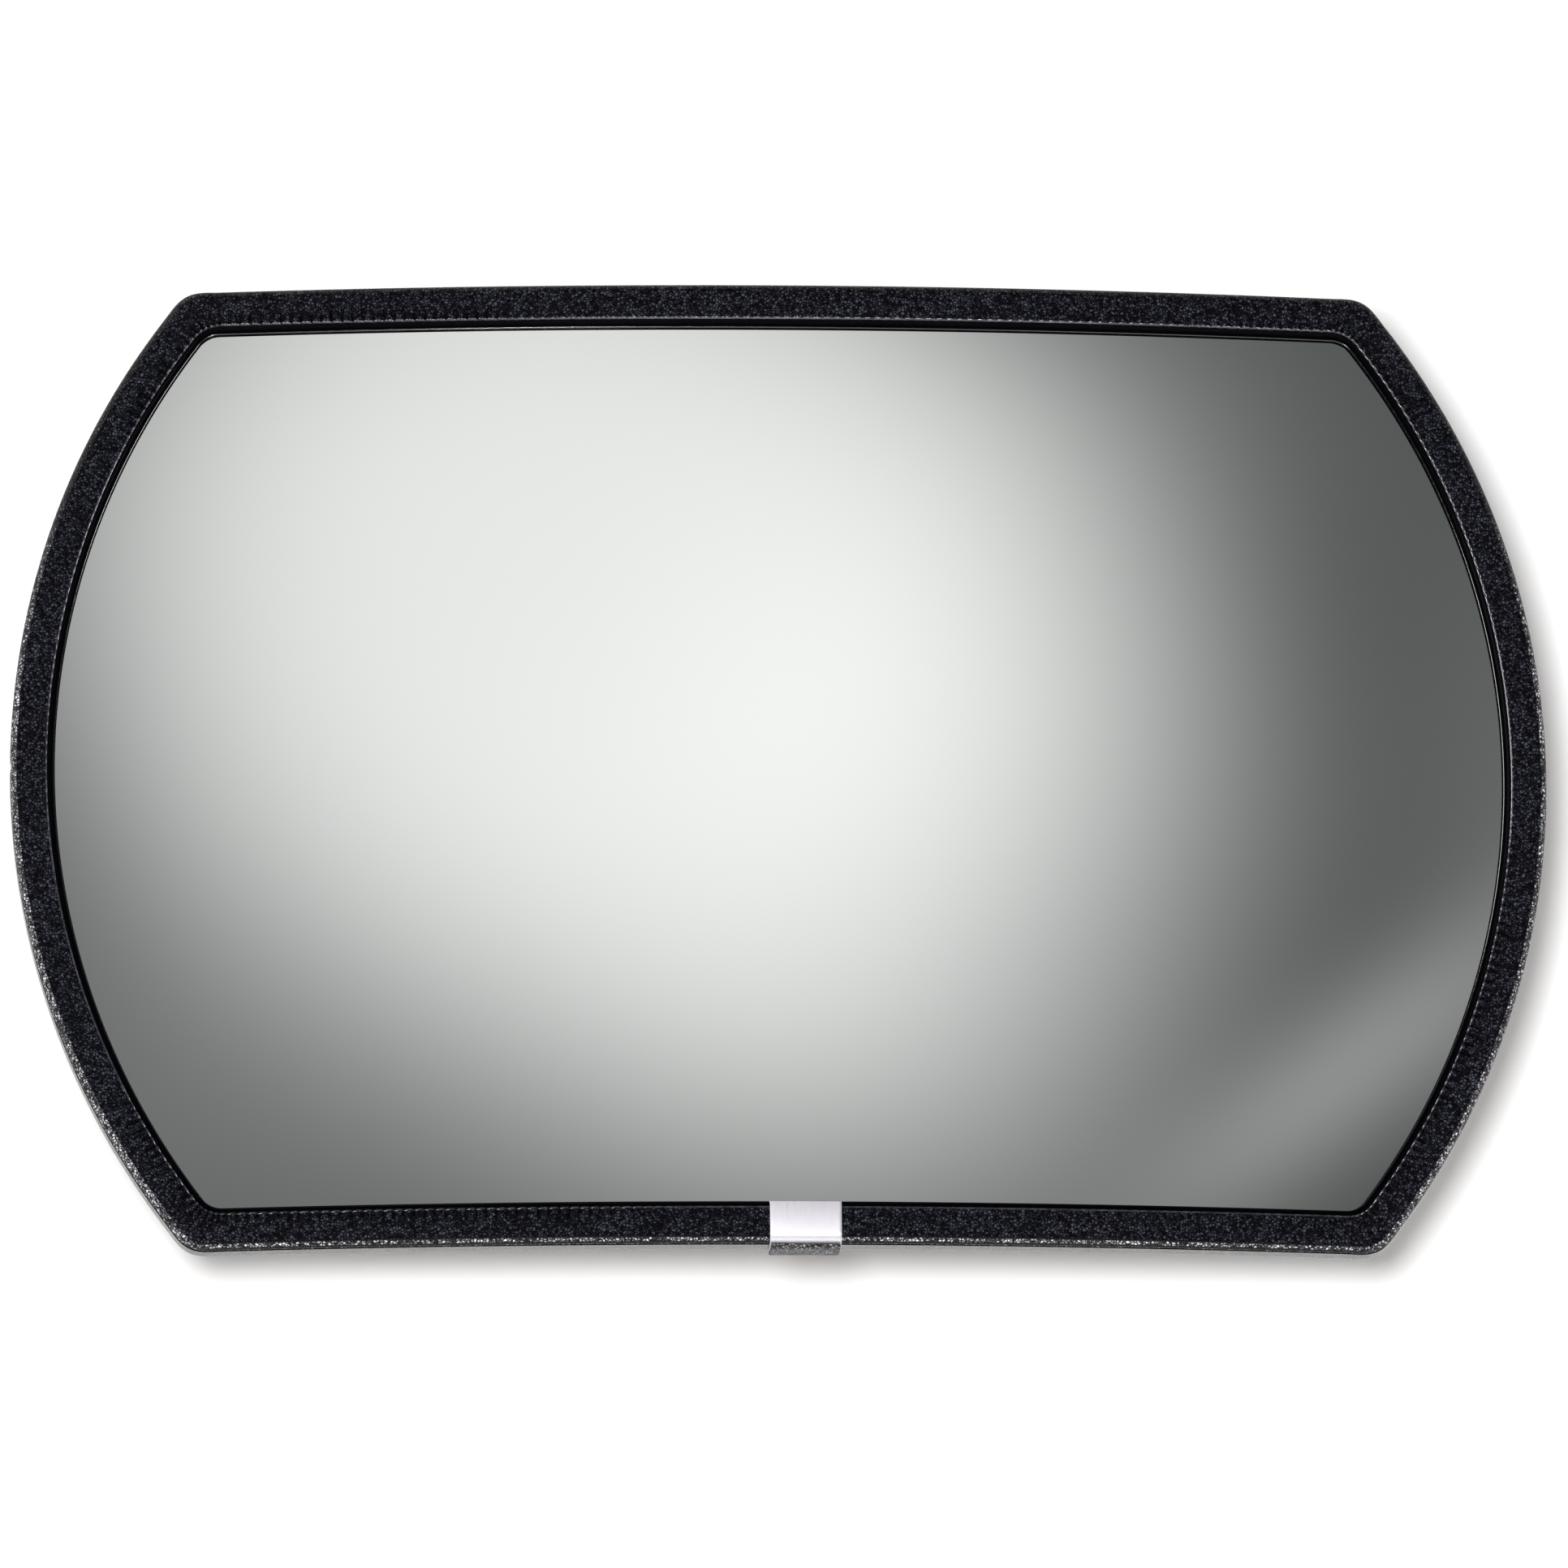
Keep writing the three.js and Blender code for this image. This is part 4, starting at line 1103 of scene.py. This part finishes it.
def seat_piece():
    inner, outer = BALL_R + FIT_GAP, BALL_R + FIT_GAP + SEAT_THICKNESS
    low, high = SEAT_FROM_DEG - 90, SEAT_TO_DEG - 90
    profile = arc(0, 0, outer, low, high, 24) + arc(0, 0, inner, high, low, 24)
    seat = turned("seat_ring", profile, closed=True)
    round_edges(seat, 0.25)
    settle(at_ball(seat), "ball_seat", "nylon", nylon("nylon_seat"))


def washer(name, inner, outer, low, x=0):
    high, edge = low + WASHER_THICKNESS, 0.2
    profile = [(inner, low), (outer - edge, low), (outer, low + edge), (outer, high - edge)]
    profile += [(outer - edge, high), (inner + edge, high), (inner, high - edge)]
    return at_ball(turned(name, profile, closed=True), x)


def stud_hardware():
    low = -BRIDGE_TO_BALL + FIT_GAP
    plate = washer("stud_washer_ring", STUD_R + FIT_GAP, STUD_WASHER_R, low)
    settle_fastener(plate, "stud_washer")
    lock_low = low + FIT_GAP + WASHER_THICKNESS
    inner_low = -BRIDGE_TO_BALL - BRIDGE_SHEET - FIT_GAP - STUD_NUT_HEIGHT
    for node, start in (("stud_lock_nut", lock_low), ("stud_inner_nut", inner_low)):
        bore = STUD_R + FIT_GAP
        nut = hex_nut(f"{node}_hex", start, STUD_NUT_HEIGHT, STUD_NUT_R, bore, STUD_PITCH)
        settle_fastener(at_ball(nut), node)


def boundary_radius(theta):
    """How far the clamp's round-ended outline is from its centre in direction theta."""
    corner_r = CLAMP_HALF_HEIGHT - 1
    outline = np.array(rounded_rectangle(CLAMP_HALF_LENGTH, CLAMP_HALF_HEIGHT, corner_r, 40))
    angles = np.arctan2(outline[:, 0], outline[:, 1]) % tau
    order = np.argsort(angles)
    radii = np.hypot(outline[:, 0], outline[:, 1])
    return np.interp(theta, angles[order], radii[order], period=tau)


def clamp_sheet(name, side, cup_r, opening_deg):
    """A pressed strip with a domed middle. Its section runs from the cup out along the flange's
    inner face, round the edge, back along its outer face and up over the dome."""
    dome_r, fillet_r = cup_r + CLAMP_SHEET, 1.5
    near, far = CLAMP_HALF_GAP, CLAMP_OUTER
    foot = sqrt((dome_r + fillet_r) ** 2 - (far + fillet_r) ** 2)
    foot_deg = degrees(atan2(far + fillet_r, foot))
    rim_deg = degrees(asin(near / cup_r))
    stop_deg = 90 - opening_deg
    cup = arc(0, 0, cup_r, stop_deg, rim_deg, 28)
    fillet = arc(foot, far + fillet_r, fillet_r, 270, 180 + foot_deg, 8)
    dome = arc(0, 0, dome_r, foot_deg, stop_deg, 28)[1:]
    edge = 0.4
    flange = [(0.0, near, 0.3), (0.0, near, 0.7), (-edge, near, 1), (0, near + edge, 1)]
    flange += [(0, far - edge, 1), (-edge, far, 1), (0.0, far, 0.7), (0.0, far, 0.3)]
    steps = 180
    theta = whole_turn(steps)
    edge_r = boundary_radius(theta[:, 0])
    columns = [(np.full(steps, r), y) for r, y in cup]
    for shift, y, share in flange:
        base = cup[-1][0] if y < (near + far) / 2 else foot
        columns.append((base + (edge_r - base) * share + shift, y))
    columns += [(np.full(steps, r), y) for r, y in fillet + dome]
    radius = np.stack([r for r, _ in columns], 1)
    height = np.repeat(np.array([[y for _, y in columns]]), steps, 0) * side
    sheet = ringed(name, theta, radius, height, closed=opening_deg > 0)
    drill_holes(sheet, BOLT_R + FIT_GAP, [(-CLAMP_BOLT_X, 0), (CLAMP_BOLT_X, 0)], -10, 10)
    return at_ball(sheet)


def clamp_pieces():
    front = clamp_sheet("clamp_front_pressing", -1, BALL_R + FIT_GAP, CLAMP_OPENING_DEG)
    settle_sheet(front, "front_clamp")
    rear_cup = BALL_R + 2 * FIT_GAP + SEAT_THICKNESS
    rear = clamp_sheet("clamp_rear_pressing", 1, rear_cup, 0)
    settle_sheet(rear, "rear_clamp")


def clamp_bolt(side, x):
    base = -(CLAMP_OUTER + FIT_GAP)
    angles = np.linspace(pi / 2, 0, 14)
    head = [(BOLT_HEAD_R * cos(a), base - BOLT_HEAD_HEIGHT * sin(a)) for a in angles]
    head[0] = (0, base - BOLT_HEAD_HEIGHT)
    profile = head + [(BOLT_R, base)]
    profile += line((BOLT_R, base + 0.1), (BOLT_R, BOLT_TAIL - 0.6), 150)
    profile += [(BOLT_R, BOLT_TAIL - 0.6), (BOLT_R - 0.6, BOLT_TAIL), (0, BOLT_TAIL)]
    thread = (base + 6, BOLT_TAIL - 0.2, BOLT_PITCH, 0.45)
    bolt = at_ball(turned(f"clamp_bolt_{side}_turned", profile, thread=thread), x)
    settle_fastener(bolt, f"clamp_bolt_{side}")
    bore, low = BOLT_R + FIT_GAP, CLAMP_OUTER + FIT_GAP
    ring = washer(f"clamp_washer_{side}_ring", bore, BOLT_HEAD_R, low, x)
    settle_fastener(ring, f"clamp_washer_{side}")


def wing_plate(low, mirrored):
    """One wing of a wing nut, as a plate in the XY plane."""
    hub = WING_HUB_R
    shape = [(2, low + 0.6), (hub + 1, low + 1.2), (WING_SPAN, low + 6)]
    shape += arc(WING_SPAN - 3, low + 9.5, 3.2, -20, 110, 14)
    shape += [(hub - 0.5, low + WING_HUB_HEIGHT - 0.5), (2, low + WING_HUB_HEIGHT - 0.5)]
    turn, half = -1 if mirrored else 1, WING_THICKNESS / 2
    return prism("wing", *([(turn * x, y, z) for x, y in shape] for z in (-half, half)))


def wing_nut(side, x):
    """Cast look: hub and wings fused, remeshed fine and eased, then bored."""
    low = CLAMP_OUTER + FIT_GAP + WASHER_THICKNESS + FIT_GAP
    high = low + WING_HUB_HEIGHT
    hub = [(0, low), (WING_HUB_R, low), (WING_HUB_R - 1, high), (0, high)]
    nut = turned(f"wing_nut_{side}_casting", hub)
    combine(nut, "UNION", wing_plate(low, False), wing_plate(low, True))
    remesh = nut.modifiers.new("remesh", "REMESH")
    remesh.mode = "VOXEL"
    remesh.voxel_size = 0.3 * MM
    eased = nut.modifiers.new("ease", "SMOOTH")
    eased.factor = 0.5
    eased.iterations = 7
    apply_modifiers(nut, 60)
    drill_holes(nut, BOLT_R + FIT_GAP, [(0, 0)], low - 5, high + 8)
    smooth(nut.data, 60)
    settle_fastener(at_ball(nut, x), f"wing_nut_{side}")


# ---- Arm and wall plate ----


def weld_bead(name, radius, y, size):
    """A rippled ring of weld, laid in short overlapping drops."""
    drops, steps, around = 26, 208, 14
    theta, turn = whole_turn(steps), whole_turn(around).T
    phase = (theta * drops / tau) % 1
    thick = size * (0.86 + 0.14 * np.sqrt(np.clip(1 - (2 * phase - 1) ** 2, 0, 1)))
    thick = thick * (1 + 0.04 * np.sin(3 * theta) + 0.03 * np.sin(7 * theta + 1))
    r = radius + thick * np.cos(turn)
    bead = ringed(name, theta, r, y + thick * np.sin(turn), sharp_deg=80)
    bead.data.materials.append(ZINC_SHEET)
    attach(bead, "wall_bracket")


def arm_pieces():
    inner = ARM_R - ARM_WALL
    dome_r = BALL_R + 2 * FIT_GAP + SEAT_THICKNESS + CLAMP_SHEET
    low = BALL.y + sqrt(dome_r**2 - inner**2) + FIT_GAP
    high = -PLATE_THICKNESS - FIT_GAP
    profile = [(inner, low)] + line((ARM_R, low), (ARM_R, high), 24)
    profile += [(ARM_R, high), (inner, high)]
    tube = turned("arm_pipe", profile, closed=True)
    settle_sheet(tube, "arm_tube")
    weld_bead("arm_weld_front", ARM_R + 0.5, low + 0.1, 1.5)
    weld_bead("arm_weld_rear", ARM_R + 0.6, high - 0.9, 1.7)


def plate_piece():
    outline = rounded_rectangle(PLATE_HALF_WIDTH, PLATE_HALF_HEIGHT, PLATE_CORNER_R)
    plate = extruded("plate_pressing", outline, -PLATE_THICKNESS, 0)
    places = [(x, z) for x in (-PLATE_HOLE_X, PLATE_HOLE_X) for z in (-PLATE_HOLE_Z, PLATE_HOLE_Z)]
    drill_holes(plate, PLATE_HOLE_R, places, -10, 10)
    round_edges(plate, 0.5)
    settle_sheet(plate, "wall_plate")


# ---- Camera, light and stage ----

# Where the trim meets the lens, as a share of the lens's half-width.
TRIM_RING = 0.954
CAMERA_AZIMUTH = -3.7
CAMERA_ELEVATION = -13.0
CAMERA_ROLL = -0.61
CAMERA_DISTANCE = 7.147
CAMERA_LENS = 410.5
AIM_RIGHT = 0.0015
AIM_UP = -0.0046
KEY_TO_LEFT = -1.6
KEY_ABOVE = 2.0
KEY_DISTANCE = 6.9
KEY_SIZE = 0.45
KEY_POWER = 400
WALL_SIZE = 3.4
WALL_Y = 0.03
FLOOR_Z = -2.2
FLOOR_SIZE = 9.0


def direction(azimuth, elevation):
    """From the object towards a place at that azimuth and elevation, in degrees."""
    a, e = radians(azimuth), radians(elevation)
    return Vector((sin(a) * cos(e), -cos(a) * cos(e), sin(e)))


def aim_point():
    """The middle of the ring where the trim meets the lens."""
    return Vector((0, lens_y(0, TRIM_RING * LENS_HALF_WIDTH), 0)) * MM


def camera():
    back = direction(CAMERA_AZIMUTH, CAMERA_ELEVATION)
    right = (-back).cross(Vector((0, 0, 1))).normalized()
    up = right.cross(-back)
    turn = radians(CAMERA_ROLL)
    right, up = cos(turn) * right + sin(turn) * up, cos(turn) * up - sin(turn) * right
    data = bpy.data.cameras.new("camera")
    data.lens, data.sensor_width = CAMERA_LENS, 36
    data.clip_start, data.clip_end = 0.1, 60
    made = new_object("camera", data)
    place = aim_point() + back * CAMERA_DISTANCE + right * AIM_RIGHT + up * AIM_UP
    basis = Matrix((right, up, back)).transposed()
    made.matrix_world = Matrix.Translation(place) @ basis.to_4x4()
    bpy.context.scene.camera = made


def area_light(name, place, target, size, power, shape="DISK", size_y=None):
    data = bpy.data.lights.new(name, "AREA")
    data.shape, data.size, data.energy = shape, size, power
    if size_y:
        data.size_y = size_y
    made = new_object(name, data)
    made.location = place
    made.rotation_mode = "QUATERNION"
    made.rotation_quaternion = (Vector(target) - Vector(place)).to_track_quat("-Z", "Y")
    made.visible_camera = False
    return made


ROOM_GLOW = 0.08
AMBIENT = 0.45
# Soft glows of the studio that the mirror shows: azimuth, elevation, width, height and turn,
# all in degrees, then brightness and how flat the glow's middle is.
GLOWS = {
    "window": (-2, 18.5, 19.5, 15, -25, 0.8, 2),
    "lamp": (6, 14, 9, 8, 0, 0.13, 1),
    "table": (5, 1.5, 11, 6.5, 0, 0.23, 1),
    "left_wall": (-15, 4, 12, 10, 0, 0.1, 1),
    "corner_streak": (22.5, 3.4, 9, 2.2, 38, 0.19, 1),
    "upper_wall": (15, 25, 9, 6, 0, 0.08, 1),
    "right_wall": (30, 11, 6, 11, 0, 0.07, 1),
}


def glow(tree, bearing, azimuth, elevation, width, height, turn, brightness, flatness):
    inputs = {"Vector": bearing, "Location": (azimuth, elevation, 0)}
    inputs |= {"Rotation": (0, 0, radians(turn)), "Scale": (width, height, 1)}
    local = add(tree, "Mapping", inputs, vector_type="TEXTURE")[0]
    square = add(tree, "VectorMath", [local, local], operation="DOT_PRODUCT")["Value"]
    fall = times(tree, math(tree, "POWER", square, float(flatness)), -1.0)
    return times(tree, math(tree, "EXPONENT", fall), brightness)


def studio_world():
    world = bpy.data.worlds.new("studio")
    world.use_nodes = True
    tree = world.node_tree
    tree.nodes.clear()
    towards = add(tree, "TexCoord")["Generated"]
    x, y, z = add(tree, "SeparateXYZ", [towards])
    azimuth = math(tree, "ARCTAN2", x, times(tree, y, -1.0))
    elevation = math(tree, "ARCSINE", z)
    angles = [math(tree, "DEGREES", angle) for angle in (azimuth, elevation)]
    bearing = add(tree, "CombineXYZ", [*angles, 0.0])[0]
    glows = [glow(tree, bearing, *settings) for settings in GLOWS.values()]
    total = glows[0]
    for one in glows[1:]:
        total = math(tree, "ADD", total, one)
    room = add(tree, "Background", [(0.90, 1.0, 0.97, 1), ROOM_GLOW])[0]
    lamps = add(tree, "Background", [(1, 1, 1, 1), total])[0]
    light = add(tree, "AddShader", [room, lamps])[0]
    white = add(tree, "Background", [(1, 1, 1, 1), 1.0])[0]
    even = add(tree, "Background", [(1, 1, 1, 1), AMBIENT])[0]
    path = add(tree, "LightPath")
    shader = add(tree, "MixShader", [path["Is Diffuse Ray"], light, even])[0]
    shader = add(tree, "MixShader", [path["Is Camera Ray"], shader, white])[0]
    add(tree, "OutputWorld", {"Surface": shader})
    world.cycles.sampling_method = "NONE"
    bpy.context.scene.world = world


def pale_paper():
    """Pale matt paper that can be looked through from behind."""
    material, tree = blank_material("pale_paper")
    fibre = noise(tree, add(tree, "TexCoord")["Object"], 6.0, 4.0)
    colour = mix_colour(tree, fibre, (0.90, 0.90, 0.90), (0.92, 0.92, 0.92))
    paper = add(tree, "BsdfDiffuse", {"Color": colour})[0]
    clear = add(tree, "BsdfTransparent")[0]
    behind = add(tree, "NewGeometry")["Backfacing"]
    surface(tree, add(tree, "MixShader", [behind, paper, clear])[0])
    return material


def stage_plane(name, material, place):
    mesh = bpy.data.meshes.new(name)
    mesh.from_pydata([place(a, b) for a, b in SQUARE], [], [(0, 1, 2, 3)])
    mesh.materials.append(material)
    new_object(name, mesh)


def stage():
    paper = pale_paper()
    half, span = WALL_SIZE / 2, FLOOR_SIZE / 2
    stage_plane("wall", paper, lambda a, b: (half * a, WALL_Y, half * b))
    stage_plane("floor", paper, lambda a, b: (span * a, span * b, FLOOR_Z))


def lights():
    """A small key beside the camera for the short shadow, and soft strips for the highlights."""
    key = direction(CAMERA_AZIMUTH + KEY_TO_LEFT, CAMERA_ELEVATION + KEY_ABOVE) * KEY_DISTANCE
    area_light("key", key, (0, 0, 0), KEY_SIZE, KEY_POWER)
    strips = {
        "low_strip": ((0, -0.75, -2.2), (0, -0.2, 0), 3.4, 1.0, 55),
        "left_strip": ((-2.8, -1.2, 0.6), (0, -0.2, 0), 1.2, 1.8, 160),
        "right_strip": ((2.8, -1.2, -0.6), (0, -0.2, 0), 1.0, 1.2, 90),
    }
    for name, (place, target, width, height, power) in strips.items():
        strip = area_light(name, place, target, width, power, "RECTANGLE", height)
        strip.visible_diffuse = False


# ---- The scene ----

ZINC_SHEET = zinc_sheet("zinc_sheet")
GRAINED_VINYL = embossed_vinyl("vinyl_grain", *GRAINED_LOOK)
# The shoulder's vinyl, whose grain tops carry the painted highlight.
SHOULDER_HIGHLIGHT_VINYL = embossed_vinyl("vinyl_burnished", *SHOULDER_HIGHLIGHT_LOOK)
STRETCHED_VINYL = stretched_vinyl("vinyl_stretched")
ZINC_FASTENER = zinc_fastener("zinc_fastener")

camera()
studio_world()
stage()
lights()

lens_piece()
board_piece()
trim_piece()
clip_piece()
splice_piece()
frame["nodes"]["trim_carrier"].data.materials.clear()
frame["nodes"]["trim_carrier"].data.materials.append(carrier_steel("carrier_steel"))
bridge_piece()
for number, (screw_x, screw_z) in enumerate(screw_places(), 1):
    board_screw(number, screw_x, screw_z)
    board_nut(number, screw_x, screw_z)
stud_piece()
seat_piece()
stud_hardware()
clamp_pieces()
for side_name, bolt_x in (("left", -CLAMP_BOLT_X), ("right", CLAMP_BOLT_X)):
    clamp_bolt(side_name, bolt_x)
    wing_nut(side_name, bolt_x)
arm_pieces()
plate_piece()

settings = bpy.context.scene.view_settings
settings.view_transform = "Standard"
settings.look = "None"
